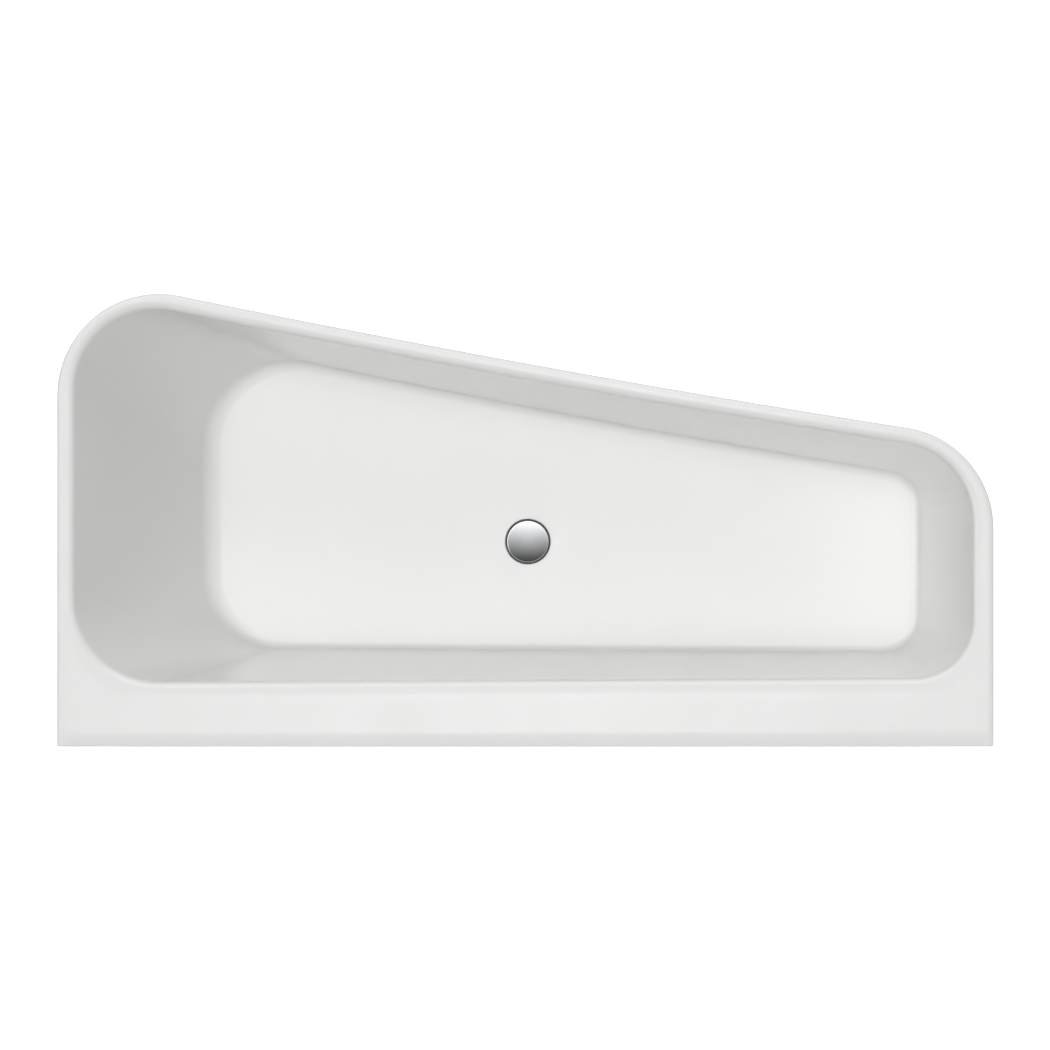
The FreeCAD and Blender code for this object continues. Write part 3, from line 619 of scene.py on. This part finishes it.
def basin_ring(z, grow=0.0):
    return ring(z, *basin_terms(z, grow))


def eased(depth, count):
    """Steps from 0 to depth that lie close together at 0, as a rounding needs."""
    return [depth * (1 - math.cos(math.pi / 2 * step / count)) for step in range(count + 1)]


def evenly(start, end, count):
    return [start + (end - start) * step / count for step in range(1, count + 1)]


def rim_terms(inset, wall_inset):
    """Insets and corner radii of the rim, moved in by inset, or by wall_inset at the wall."""
    sizes = shell_sizes()
    front = sizes.rim_corner - inset
    return (inset, wall_inset, inset, inset), (front, sizes.wall_corner, sizes.wall_corner, front)


def mixed(one, two, share):
    return [a + (b - a) * share for a, b in zip(one, two)]


def waste_place():
    return Vector((*middle("waste_body").xy, 0))


def circle_ring(z, radius, towards):
    """A circle about the waste, with one point on the way to each point of an outline."""
    centre = waste_place()
    out = []
    for point in towards:
        way = Vector((point.x - centre.x, point.y - centre.y, 0)).normalized()
        out.append(centre + way * radius + UP * z)
    return out


BOWL_STEPS = 14
WALL_STEPS = 6
ROLL_STEPS = 12
FLAT_STEPS = 4
EDGE_STEPS = 12
LIP_STEPS = 3
RECESS_STEPS = 8
SKIRT_STEPS = 10
# Outlines of the floor between the recess and the floor's edge
DISH_SHARES = (0.12, 0.3, 0.55, 0.8)
# Depth of the roundings at the foot of the upright sides, as a share of their radius
SIDE_BOWL_SHARE = 0.99


def floor_rings(grow, floor):
    """From the waste hole up over the recess's edge and out to the floor's outline."""
    sizes, fittings = shell_sizes(), fitting_sizes()
    top = high("bath_shell").z
    dish_z = top - sizes.basin - sizes.floor_fall - grow
    low_z = dish_z - fittings.recess_depth
    radius, soft = fittings.recess + grow, fittings.recess_round
    edge = [(radius, low_z), (radius, dish_z), (radius + 3 * soft, dish_z)]
    profile = [(fittings.waste_hole, low_z)] + rounded_profile(edge, soft, RECESS_STEPS)
    rings = [circle_ring(z, reach, floor) for reach, z in profile]
    for share in DISH_SHARES:
        rings.append([start.lerp(end, share) for start, end in zip(rings[len(profile) - 1], floor)])
    return rings


def basin_rings(grow):
    """From the waste hole to the top of the mouth's roll."""
    sizes = shell_sizes()
    top = high("bath_shell").z
    low_z, high_z = top - sizes.basin - grow, top - grow
    bowl_depth = (sizes.side_bowl + grow) * SIDE_BOWL_SHARE
    lean = math.atan2(sizes.floor_head - sizes.mouth_head, sizes.basin)
    bowl_depth = max(bowl_depth, (sizes.head_bowl + grow) * (1 - math.sin(lean)))
    roll_depth = sizes.mouth_roll - grow
    bowl = [low_z + step for step in eased(bowl_depth, BOWL_STEPS)]
    walls = evenly(bowl[-1], high_z - roll_depth, WALL_STEPS)
    roll = [high_z - step for step in eased(roll_depth, ROLL_STEPS)][::-1]
    floor = basin_ring(low_z, grow)
    return floor_rings(grow, floor) + [basin_ring(z, grow) for z in bowl + walls + roll[1:]]


def flat_rings():
    """The rim's flat top between the mouth's roll and its outer edge."""
    sizes = shell_sizes()
    top = high("bath_shell").z
    mouth_insets, mouth_radii, wall_lean, _ = basin_terms(top, 0.0)
    edge_insets, edge_radii = rim_terms(sizes.rim_edge, sizes.wall_edge)
    rings = []
    for step in range(1, FLAT_STEPS):
        share = step / FLAT_STEPS
        insets, radii = mixed(mouth_insets, edge_insets, share), mixed(mouth_radii, edge_radii, share)
        rings.append(ring(top, insets, radii, wall_lean * (1 - share)))
    return rings


def outer_edge_rings():
    """The rim's outer edge and its lip, down and up again to the ceiling behind it."""
    sizes = shell_sizes()
    top = high("bath_shell").z
    rings = []
    for step in range(EDGE_STEPS + 1):
        angle = math.pi / 2 * step / EDGE_STEPS
        inset = sizes.rim_edge * (1 - math.sin(angle))
        wall_inset = sizes.wall_edge * (1 - math.sin(angle))
        depth = sizes.rim_edge * (1 - math.cos(angle))
        rings.append(ring(top - depth, *rim_terms(inset, wall_inset)))
    bottom = top - sizes.lip
    lip = [
        (0.0, top - sizes.rim_edge), (0.0, bottom), (sizes.sheet, bottom), (sizes.sheet, top - sizes.sheet),
    ]
    for inset, z in rounded_profile(lip, sizes.lip_round, LIP_STEPS)[1:]:
        rings.append(ring(z, *rim_terms(inset, inset)))
    return rings


def make_shell():
    """The sheet, drawn from the waste hole over the rim and back underneath."""
    top_side = basin_rings(0.0) + flat_rings()
    rings = top_side + outer_edge_rings() + basin_rings(shell_sizes().sheet)[::-1]
    mesh = drawn_rings(rings)
    glossy_rings = len(top_side) + EDGE_STEPS + 1 + LIP_STEPS
    mesh.faces.ensure_lookup_table()
    for face in mesh.faces:
        face.material_index = 0 if face.index < glossy_rings * len(rings[0]) else 1
    return mesh


def skirt_chain(z, inset, wall_end):
    """The skirt's line at height z, from its foot end at the wall, round the front, to its head end."""
    terms = rim_terms(inset, -shell_sizes().sheet)
    arcs, sides = outline(z, *terms)
    chain = [Vector((-half_length() + inset, wall_end, z))]
    chain += sides[FOOT] + arcs[3] + sides[FRONT] + arcs[0] + sides[HEAD]
    chain = [point for point in chain if point.y <= wall_end]
    chain.append(Vector((half_length() - inset, wall_end, z)))
    return chain


def make_skirt():
    """The panel, drawn from its foot up the outside, behind the lip and down the inside."""
    sizes, fittings = shell_sizes(), fitting_sizes()
    bottom, top = low("skirt").z, high("skirt").z
    sheet, soft, seam = fittings.skirt_sheet, fittings.skirt_round, fittings.skirt_seam
    seam_z = high("bath_shell").z - sizes.lip
    edge_z = seam_z - seam
    start = sizes.sheet + seam
    wall_end = half_width() - fittings.skirt_wall_gap
    lip_end = half_width() - start - sizes.wall_corner

    def leaning(z):
        return start + fittings.skirt_taper * max(seam_z - z, 0.0) / (seam_z - bottom)

    levels = [bottom + soft] + evenly(bottom + soft, seam_z, SKIRT_STEPS)
    outer = [(z, leaning(z)) for z in levels]
    inner = [(z, inset + sheet) for z, inset in outer]
    foot = [(bottom, leaning(bottom) + soft), (bottom, inner[0][1] - soft)]
    upper = [(edge_z, start, wall_end), (edge_z, start, lip_end), (top, start, lip_end)]
    back = [(top, start + sheet, lip_end), (edge_z, start + sheet, lip_end)]
    down = [(edge_z, inner[-1][1])] + inner[:-1][::-1] + foot[::-1]
    rows = [(z, inset, wall_end) for z, inset in outer[:-1]] + upper + back
    rows += [(z, inset, wall_end) for z, inset in down]
    rings = [skirt_chain(*row) for row in rows]
    # Each chain is cut to the shortest one's count, by leaving out points after its first
    count = min(len(points) for points in rings)
    rings = [points if len(points) == count else points[:1] + points[1 - count:] for points in rings]
    mesh = drawn_rings(rings, closed=False)
    close_ends(mesh)
    first_inside, last_inside = len(outer) - 1 + len(upper), len(rows) - len(foot) - 1
    mesh.faces.ensure_lookup_table()
    for face in mesh.faces[first_inside * (count - 1):last_inside * (count - 1)]:
        face.material_index = 1
    return mesh


class BATH_OT_shell(bpy.types.Operator):
    """Model the acrylic shell: basin, rolled rim, ledge and lip"""

    bl_idname = "bath.shell"
    bl_label = "Shell"

    def execute(self, context):
        finishes = [acrylic_finish(), fibre_finish()]
        piece("shell", make_shell(), "bath", "acrylic", "bath_shell", finishes=finishes)
        return {"FINISHED"}


class BATH_OT_skirt(bpy.types.Operator):
    """Model the skirt on the three sides that stand in the room"""

    bl_idname = "bath.skirt"
    bl_label = "Skirt"

    def execute(self, context):
        finishes = [acrylic_finish(), fibre_finish()]
        piece("skirt_panel", make_skirt(), "bath", "skirt_acrylic", "skirt", finishes=finishes)
        return {"FINISHED"}


# Waste cover

COVER_STEPS = 128
COVER_EDGE_STEPS = 6
DOME_STEPS = 14
# Where the points of the dome start, as a share of the cover's radius
DOME_SHARE = 0.9


def make_cover():
    """The domed cover with its stem."""
    fittings = fitting_sizes()
    lowest, highest = low("plug").z, high("plug").z
    radius = high("plug").x - middle("plug").x
    stem, under = fittings.stem, high("plug_seal").z

    def domed(reach):
        return reach, highest - fittings.cover_dome * (reach / radius) ** 2

    reaches = [radius * DOME_SHARE * (1 - step / DOME_STEPS) for step in range(DOME_STEPS + 1)]
    dome = [domed(reach) for reach in reaches]
    edge = [(0, lowest), (stem, lowest), (stem, under), (radius, under), domed(radius), dome[0]]
    profile = rounded_profile(edge, fittings.cover_round, COVER_EDGE_STEPS) + dome[1:]
    return turned(profile, waste_place(), COVER_STEPS)


class BATH_OT_cover(bpy.types.Operator):
    """Model the waste's chrome cover"""

    bl_idname = "bath.cover"
    bl_label = "Waste cover"

    def execute(self, context):
        finishes = [chrome_finish()]
        piece("waste_cover", make_cover(), "plug", "chrome", "plug", finishes=finishes, sharp_over=50.0)
        return {"FINISHED"}


# Legs, pads and nuts

LEGS = ("head_front", "head_wall", "foot_front", "foot_wall", "middle")
THREAD_STEPS = 20
# Where a thread's tooth starts to rise, comes to its crest, leaves it and ends, along one pitch
TOOTH_SHARES = (0, 0.38, 0.5, 0.88, 1)
SHANK_STEPS = 40
# The bore inside a leg's hexagon, hidden in the rod
HEX_BORE_SHARE = 0.8
# A nut's turned face against its width across the flats, and the slope that turning leaves on its corners
FACE_SHARE, CORNER_SLOPE = 0.97, 0.58
PAD_STEPS = 72
PAD_EDGE_STEPS = 3
# A rib on a pad: shares of the neck's radius, the pad's radius, the pad's height and the rim's height
RIB_NECK_SHARES = (0.9, 1.12)
RIB_END_SHARE = 0.97
RIB_TOP_SHARES = (0.6, 0.985)
RIB_RIM_SHARES = (0.6, 1.35)


def hexagon_reach(width, angle):
    """How far a hexagon reaches at this angle; it has a corner at angle zero."""
    return width / 2 / math.cos(angle % (math.pi / 3) - math.pi / 6)


def nut_rows(width, bore, low_z, high_z):
    """A hexagon with the slanted ring that turning leaves on its corners."""
    flat = width / 2 * FACE_SHARE

    def slope(angle):
        return (hexagon_reach(width, angle) - flat) * CORNER_SLOPE

    return [
        level(bore, low_z), level(flat, low_z),
        lambda angle: (hexagon_reach(width, angle), low_z + slope(angle)),
        lambda angle: (hexagon_reach(width, angle), high_z - slope(angle)),
        level(flat, high_z), level(bore, high_z),
    ]


def make_thread(centre, radius, low_z, high_z):
    """A threaded rod: one tooth's outline, wound up the rod and trimmed square at both ends."""
    fittings = fitting_sizes()
    pitch, root = fittings.thread_pitch, radius - fittings.thread_depth
    turns = math.ceil((high_z - low_z) / pitch) + 2
    mesh = bmesh.new()
    verts = []
    for reach, share in zip((root, radius, radius, root, root), TOOTH_SHARES):
        verts.append(mesh.verts.new((centre.x + reach, centre.y, low_z + (share - 1) * pitch)))
    edges = [mesh.edges.new(pair) for pair in zip(verts, verts[1:])]
    bmesh.ops.spin(
        mesh, geom=verts + edges, cent=(centre.x, centre.y, 0), axis=UP,
        dvec=(0, 0, pitch / THREAD_STEPS), angle=math.tau * turns, steps=turns * THREAD_STEPS,
    )
    bmesh.ops.remove_doubles(mesh, verts=mesh.verts, dist=SAME_POINT)
    for z, outer, inner in ((high_z, True, False), (low_z, False, True)):
        bmesh.ops.bisect_plane(
            mesh, geom=list(mesh.verts) + list(mesh.edges) + list(mesh.faces), dist=ON_PLANE,
            plane_co=(0, 0, z), plane_no=UP, clear_outer=outer, clear_inner=inner,
        )
    close_ends(mesh)
    return mesh


def make_leg(node, pad):
    """A threaded leg with its hexagon and the plain end that turns in the pad."""
    fittings = fitting_sizes()
    place, radius = middle(node), fittings.leg_radius
    hex_low = high(pad).z + fittings.leg_gap
    hex_high = hex_low + fittings.leg_hex_height
    bottom, shank_top = low(node).z, hex_high - fittings.leg_gap
    rod = make_thread(place, radius, shank_top, high(node).z)
    bore = radius * HEX_BORE_SHARE
    collar = wrapped(nut_rows(fittings.leg_hex_width, bore, hex_low, hex_high), place)
    shank = [(0, bottom), (radius, bottom), (radius, shank_top), (0, shank_top)]
    shank = turned(rounded_profile(shank, fittings.small_round), place, SHANK_STEPS)
    return merged(rod, collar, shank)


def make_pad(node):
    """A levelling pad with ribs on its cone."""
    fittings = fitting_sizes()
    place, height = middle(node), high(node).z
    radius, neck = high(node).x - place.x, fittings.pad_neck
    edge, rim = fittings.pad_edge, fittings.pad_rim
    bore = fittings.leg_radius + fittings.leg_play
    seat_z = height - fittings.pad_socket
    profile = [
        (0, 0), (radius - edge, 0), (radius, edge), (radius, rim),
        (neck, height), (bore, height), (bore, seat_z), (0, seat_z),
    ]
    cone = turned(rounded_profile(profile, fittings.small_round, PAD_EDGE_STEPS), place, PAD_STEPS)
    inner, outer = [neck * share for share in RIB_NECK_SHARES]
    low_z, high_z = [height * share for share in RIB_TOP_SHARES]
    rim_low, rim_high = [rim * share for share in RIB_RIM_SHARES]
    end = radius * RIB_END_SHARE
    side = [(inner, low_z), (inner, high_z), (outer, high_z), (end, rim_high), (end, rim_low)]
    half = fittings.pad_rib_width / 2
    ribs = []
    for step in range(fittings.pad_ribs):
        way = Matrix.Rotation(math.tau * step / fittings.pad_ribs, 3, "Z")
        rib = bmesh.new()
        points = [place.xy.to_3d() + way @ Vector((reach, -half, z)) for reach, z in side]
        face = rib.faces.new([rib.verts.new(point) for point in points])
        out = bmesh.ops.extrude_face_region(rib, geom=[face])["geom"]
        moved = [item for item in out if isinstance(item, bmesh.types.BMVert)]
        bmesh.ops.translate(rib, verts=moved, vec=way @ Vector((0, 2 * half, 0)))
        ribs.append(rib)
    return merged(cone, *ribs)


class BATH_OT_legs(bpy.types.Operator):
    """Model the threaded legs, their nuts and their levelling pads"""

    bl_idname = "bath.legs"
    bl_label = "Legs"

    def execute(self, context):
        fittings = fitting_sizes()
        steel, plastic = zinc_finish(), pad_finish()
        bore = fittings.leg_radius + fittings.leg_play
        long_nuts, lock_nuts = [], []
        for name in LEGS:
            node, pad = "leg_" + name, "pad_" + name
            leg, foot = make_leg(node, pad), make_pad(pad)
            piece("threaded_" + node, leg, "bolt_" + name, "zinc_steel", node, finishes=[steel])
            piece("ribbed_" + pad, foot, "foot_" + name, "pad_plastic", pad, finishes=[plastic])
            seat_z = low("leg_plate").z if name == "middle" else high("leg_nuts").z
            nut_z = seat_z - fittings.leg_nut_height
            place = middle(node)
            long_nuts.append(wrapped(nut_rows(fittings.nut_width, bore, nut_z, seat_z), place))
            lock_z = nut_z - fittings.lock_nut_height
            lock_nuts.append(wrapped(nut_rows(fittings.nut_width, bore, lock_z, nut_z), place))
        for name, nuts in (("leg_nuts", long_nuts), ("lock_nuts", lock_nuts)):
            piece("turned_" + name, merged(*nuts), "bath", "zinc_steel", name, finishes=[steel])
        return {"FINISHED"}


# Nuts of the trap and the waste

UNION_GRIPS, UNION_STEPS = 12, 144
PIPE_NUT_GRIPS, PIPE_NUT_STEPS = 16, 160
# Where the slant of a hand nut's edge has its bend, as a share of the slant
BEND_SHARE = 0.3
BACK_NUT_STEPS = 240
SLOTS = 8
SLOT_HALF_TURN = math.tau / 60
# The back nut's flat face and the floor of its slots, as shares of its radius
BACK_FACE_SHARE, SLOT_FLOOR_SHARE = 0.86, 0.89


def hand_nut_rows(outer, grips, low_z, high_z, inner):
    """A hand nut: slanted edges and shallow hollows outside, then its inside from the top down."""
    fittings = fitting_sizes()
    depth, edge = fittings.grip_depth, fittings.grip_edge
    bend = edge * BEND_SHARE

    def reach(angle):
        return outer - depth * (0.5 - 0.5 * math.cos(grips * angle)) ** 2

    rows = [
        level(outer - depth - edge, low_z),
        lambda angle: (reach(angle) - bend, low_z + bend),
        lambda angle: (reach(angle), low_z + edge),
        lambda angle: (reach(angle), high_z - edge),
        lambda angle: (reach(angle) - bend, high_z - bend),
        level(outer - depth - edge, high_z),
    ]
    return rows + [level(radius, z) for radius, z in inner]


def make_union_nut():
    fittings = fitting_sizes()
    low_z, high_z = low("union_nut").z, high("union_nut").z
    outer = high("union_nut").x - middle("union_nut").x
    tail_z, lip_z = low("waste_body").z, low_z + fittings.nut_lip
    tail, collar, pipe = fittings.tail_bore, fittings.collar_bore, fittings.pipe_bore
    inner = [
        (tail, high_z), (tail, tail_z), (collar, tail_z), (collar, lip_z), (pipe, lip_z), (pipe, low_z),
    ]
    return wrapped(hand_nut_rows(outer, UNION_GRIPS, low_z, high_z, inner), waste_place(), UNION_STEPS)


def make_pipe_nut(outer, length):
    """A pipe nut about the upright line through the origin, from height zero up to its lip."""
    fittings = fitting_sizes()
    socket, pipe = fittings.socket_bore, fittings.pipe_bore
    lip_z = length - fittings.nut_lip
    inner = [(pipe, length), (pipe, lip_z), (socket, lip_z), (socket, 0)]
    return wrapped(hand_nut_rows(outer, PIPE_NUT_GRIPS, 0, length, inner), ORIGIN, PIPE_NUT_STEPS)


def make_back_nut():
    """A flat round nut with slots for its spanner."""
    low_z, high_z = low("back_nut").z, high("back_nut").z
    outer = high("back_nut").x - middle("back_nut").x
    edge, bore = fitting_sizes().grip_edge / 2, fitting_sizes().tail_bore
    face = outer * BACK_FACE_SHARE

    def reach(angle):
        slot = math.tau / SLOTS
        away = abs(angle % slot - slot / 2)
        return outer * (SLOT_FLOOR_SHARE if away < SLOT_HALF_TURN else 1)

    rows = [
        level(face, low_z),
        lambda angle: (reach(angle) - edge, low_z),
        lambda angle: (reach(angle), low_z + edge),
        lambda angle: (reach(angle), high_z - edge),
        lambda angle: (reach(angle) - edge, high_z),
        level(face, high_z), level(bore, high_z), level(bore, low_z),
    ]
    return wrapped(rows, waste_place(), BACK_NUT_STEPS)


class BATH_OT_nuts(bpy.types.Operator):
    """Model the hand nuts of the trap and the waste's back nut"""

    bl_idname = "bath.nuts"
    bl_label = "Trap and waste nuts"

    def execute(self, context):
        tone = shade(colours().pipe, NUT_SHADE)
        plastic = moulded_finish("nut plastic", tone, smooth=0.26, coarse=0.42)
        union = make_union_nut()
        piece("gripped_union_nut", union, "bath", "pipe_plastic", "union_nut", finishes=[plastic])

        place, length = middle("elbow_nut"), high("elbow_nut").z - low("elbow_nut").z
        outer = high("elbow_nut").x - place.x
        upright = make_pipe_nut(outer, length)
        bmesh.ops.translate(upright, verts=upright.verts, vec=(place.x, place.y, low("elbow_nut").z))
        piece("gripped_elbow_nut", upright, "trap", "pipe_plastic", "elbow_nut", finishes=[plastic])

        place, lay = middle("drain_nut"), Matrix.Rotation(-math.pi / 2, 3, "X")
        lying = make_pipe_nut(outer, length)
        bmesh.ops.rotate(lying, verts=lying.verts, cent=ORIGIN, matrix=lay)
        bmesh.ops.translate(lying, verts=lying.verts, vec=(place.x, low("drain_nut").y, place.z))
        piece("gripped_drain_nut", lying, "trap", "pipe_plastic", "drain_nut", finishes=[plastic])

        back, brass = make_back_nut(), [brass_finish()]
        piece("slotted_back_nut", back, "bath", "brass", "back_nut", finishes=brass, sharp_over=30.0)
        return {"FINISHED"}


# Finishes of the pieces that keep their construction shape

class BATH_OT_finishes(bpy.types.Operator):
    """Finish the pieces that keep the shape of their construction model"""

    bl_idname = "bath.finishes"
    bl_label = "Other finishes"

    def execute(self, context):
        finishes = {
            "adhesive": adhesive_finish(),
            "timber": timber_finish("long batten", grain=(0.25, 1.0, 1.0)),
            "chipboard": chipboard_finish(),
            "resin": fibre_finish(),
            "zinc_steel": zinc_finish(),
            "chrome": chrome_finish(),
            "rubber": rubber_finish(),
            "pad_plastic": pad_finish(),
            "brass": brass_finish(),
            "latch_plastic": moulded_finish("latch plastic", LATCH_TONE, smooth=0.3, coarse=0.5),
            "spring_steel": zinc_finish(),
            "pipe_plastic": moulded_finish("pipe plastic", colours().pipe, smooth=0.24, coarse=0.4),
        }
        across = timber_finish("end batten", grain=(1.0, 0.25, 1.0))
        single = {"head_batten": across, "foot_batten": across}
        slots = {part["node"]: part["material_slot"] for part in frame["record"]["subparts"]}
        for name, node in frame["nodes"].items():
            finish = single.get(name, finishes.get(slots[name]))
            if finish is None:
                continue
            node.data.materials.clear()
            node.data.materials.append(finish)
        return {"FINISHED"}


# Stage: floor, light and camera

# The floor: half its width, its colour, and the glow that the camera sees on it
FLOOR_REACH, FLOOR_TONE, FLOOR_GLOW = 30.0, (0.8, 0.8, 0.8), 0.62
# How far the camera sees
CLIP_END = 100.0
# Each soft light's elevation, direction round the bath, sharpness and strength
SOFT_LIGHTS = (
    (90, 0, 60, 14.4),
    (65, 0, 80, 6.0),
    (45, 0, 16, 0.8),
    (45, 270, 16, 0.5),
    (12, 106, 6, 0.97),
    (12, 254, 6, 1.62),
)
# The panel that polished pieces show over the bath: its place from front to wall, and its strength there
PANEL_REACH = 0.3
PANEL_TONES = (
    (0.0, 1.28), (0.15, 1.05), (0.285, 0.78), (0.43, 0.55),
    (0.57, 0.365), (0.715, 0.222), (0.858, 0.118), (1.0, 0.056),
)
# How steeply a reflection looks up where the panel begins and where it is full, and the room's tone
PANEL_EDGE = (0.906, 0.945)
ROOM_TONE = 0.72
# What rounded edges show of the room: a wide screen over the head end and front. Where it begins and is full,
# sideways and upwards, and its tone
SCREEN_SIDE, SCREEN_FOOT, SCREEN_TONE = (0.1, 0.35), (0.12, 0.3), 2.3


class Sky:
    """The studio's light from all round, as the world's nodes."""

    def __init__(self, tree):
        self.nodes, self.links = tree.nodes, tree.links
        self.way = self.nodes.new("ShaderNodeTexCoord").outputs["Generated"]
        self.path = self.nodes.new("ShaderNodeLightPath")

    def joined(self, socket, value):
        if isinstance(value, bpy.types.NodeSocket):
            self.links.new(value, socket)
        else:
            socket.default_value = value

    def worked(self, operation, one, other):
        node = self.nodes.new("ShaderNodeMath")
        node.operation = operation
        self.joined(node.inputs[0], one)
        self.joined(node.inputs[1], other)
        return node.outputs["Value"]

    def mixed(self, share, one, other):
        node = self.nodes.new("ShaderNodeMix")
        self.joined(node.inputs["Factor"], share)
        self.joined(node.inputs["A"], one)
        self.joined(node.inputs["B"], other)
        return node.outputs["Result"]

    def eased(self, value, start, end, kind="LINEAR"):
        node = self.nodes.new("ShaderNodeMapRange")
        node.interpolation_type = kind
        self.links.new(value, node.inputs["Value"])
        node.inputs["From Min"].default_value = start
        node.inputs["From Max"].default_value = end
        return node.outputs["Result"]

    def soft_lights(self):
        """What dull surfaces gather."""
        total = 0.0
        for elevation, azimuth, sharpness, strength in SOFT_LIGHTS:
            tilt, turn = math.radians(elevation), math.radians(azimuth)
            x, y = math.cos(tilt) * math.cos(turn), math.cos(tilt) * math.sin(turn)
            facing = self.nodes.new("ShaderNodeVectorMath")
            facing.operation = "DOT_PRODUCT"
            self.links.new(self.way, facing.inputs[0])
            facing.inputs[1].default_value = (x, y, math.sin(tilt))
            near = self.worked("MAXIMUM", facing.outputs["Value"], 0.0)
            glow = self.worked("MULTIPLY", self.worked("POWER", near, sharpness), strength)
            total = self.worked("ADD", total, glow)
        return total

    def graded_panel(self):
        """What glossy surfaces show: the panel overhead, and the room round it."""
        parts = self.nodes.new("ShaderNodeSeparateXYZ")
        self.links.new(self.way, parts.inputs["Vector"])
        ramp = self.nodes.new("ShaderNodeValToRGB")
        tones = ramp.color_ramp.elements
        while len(tones) < len(PANEL_TONES):
            tones.new(0.5)
        for tone, (place, value) in zip(tones, PANEL_TONES):
            tone.position = place
            tone.color = (value, value, value, 1)
        self.links.new(self.eased(parts.outputs["Y"], -PANEL_REACH, PANEL_REACH), ramp.inputs["Fac"])
        inside = self.eased(parts.outputs["Z"], *PANEL_EDGE, "SMOOTHSTEP")
        return self.mixed(inside, self.room(parts), ramp.outputs["Color"])

    def room(self, parts):
        """The room's even tone, with the screen over the head end and front."""
        aside = self.worked("SUBTRACT", parts.outputs["X"], parts.outputs["Y"])
        side = self.eased(aside, *SCREEN_SIDE, "SMOOTHSTEP")
        above = self.eased(parts.outputs["Z"], *SCREEN_FOOT, "SMOOTHSTEP")
        return self.mixed(self.worked("MULTIPLY", side, above), ROOM_TONE, SCREEN_TONE)


class BATH_OT_stage(bpy.types.Operator):
    """Set the pale floor, the soft light and the camera over the bath"""

    bl_idname = "bath.stage"
    bl_label = "Stage"

    camera_height: bpy.props.FloatProperty(
        name="Camera height", description="Height of the camera over the rim", default=6.5, unit="LENGTH"
    )
    view_width: bpy.props.FloatProperty(
        name="View width", description="Width of the picture at the rim", default=1.9037, unit="LENGTH"
    )
    view_centre: bpy.props.FloatVectorProperty(
        name="View centre", description="Place of the camera over the bath", default=(0.0006, 0.0089),
        size=2, unit="LENGTH",
    )
    sensor: bpy.props.FloatProperty(
        name="Sensor", description="Width of the camera's sensor", default=36.0, unit="CAMERA"
    )

    def execute(self, context):
        self.make_floor()
        self.make_lights(context)
        self.make_camera(context)
        context.scene.view_settings.view_transform = "Standard"
        return {"FINISHED"}

    def make_floor(self):
        mesh = bmesh.new()
        bmesh.ops.create_grid(mesh, x_segments=2, y_segments=2, size=FLOOR_REACH)
        data = bpy.data.meshes.new("studio_floor")
        mesh.to_mesh(data)
        mesh.free()
        floor = bpy.data.objects.new("studio_floor", data)
        bpy.context.scene.collection.objects.link(floor)
        finish = Finish("studio floor", FLOOR_TONE, roughness=0.9)
        path = finish.nodes.new("ShaderNodeLightPath")
        glow = finish.nodes.new("ShaderNodeMath")
        glow.operation = "MULTIPLY"
        glow.inputs[1].default_value = FLOOR_GLOW
        finish.links.new(path.outputs["Is Camera Ray"], glow.inputs[0])
        finish.shader.inputs["Emission Color"].default_value = (1, 1, 1, 1)
        finish.links.new(glow.outputs["Value"], finish.shader.inputs["Emission Strength"])
        data.materials.append(finish.material)

    def make_lights(self, context):
        world = bpy.data.worlds.new("studio")
        context.scene.world = world
        world.use_nodes = True
        sky = Sky(world.node_tree)
        lit = sky.mixed(sky.path.outputs["Is Glossy Ray"], sky.soft_lights(), sky.graded_panel())
        strength = sky.mixed(sky.path.outputs["Is Camera Ray"], lit, 1.0)
        background = sky.nodes["Background"]
        background.inputs["Color"].default_value = (1, 1, 1, 1)
        sky.links.new(strength, background.inputs["Strength"])

    def make_camera(self, context):
        data = bpy.data.cameras.new("over_the_bath")
        data.sensor_width = self.sensor
        data.lens = self.sensor * self.camera_height / self.view_width
        data.clip_end = CLIP_END
        camera = bpy.data.objects.new("over_the_bath", data)
        camera.location = (*self.view_centre, high("bath_shell").z + self.camera_height)
        camera.rotation_euler = (0, 0, math.pi)
        context.scene.collection.objects.link(camera)
        context.scene.camera = camera


class BATH_PT_pieces(bpy.types.Panel):
    """Builds the bath piece by piece"""

    bl_idname = "BATH_PT_pieces"
    bl_label = "Bath"
    bl_space_type = "VIEW_3D"
    bl_region_type = "UI"
    bl_category = "Bath"

    def draw(self, context):
        for operator in OPERATORS:
            self.layout.operator(operator.bl_idname)
        for group in (shell_sizes(), fitting_sizes(), colours()):
            box = self.layout.box()
            for key in group.bl_rna.properties.keys():
                if key not in ("rna_type", "name"):
                    box.prop(group, key)


OPERATORS = (
    BATH_OT_shell,
    BATH_OT_skirt,
    BATH_OT_cover,
    BATH_OT_legs,
    BATH_OT_nuts,
    BATH_OT_finishes,
    BATH_OT_stage,
)
CLASSES = (BathShellSizes, BathFittingSizes, BathColours, *OPERATORS, BATH_PT_pieces)


def register():
    for item in CLASSES:
        bpy.utils.register_class(item)
    bpy.types.Scene.bath_shell_sizes = bpy.props.PointerProperty(type=BathShellSizes)
    bpy.types.Scene.bath_fitting_sizes = bpy.props.PointerProperty(type=BathFittingSizes)
    bpy.types.Scene.bath_colours = bpy.props.PointerProperty(type=BathColours)


def unregister():
    del bpy.types.Scene.bath_colours
    del bpy.types.Scene.bath_fitting_sizes
    del bpy.types.Scene.bath_shell_sizes
    for item in reversed(CLASSES):
        bpy.utils.unregister_class(item)


def main():
    register()
    bpy.ops.bath.shell()
    bpy.ops.bath.skirt()
    bpy.ops.bath.cover()
    bpy.ops.bath.legs()
    bpy.ops.bath.nuts()
    bpy.ops.bath.finishes()
    bpy.ops.bath.stage()


if __name__ == "__main__":
    main()
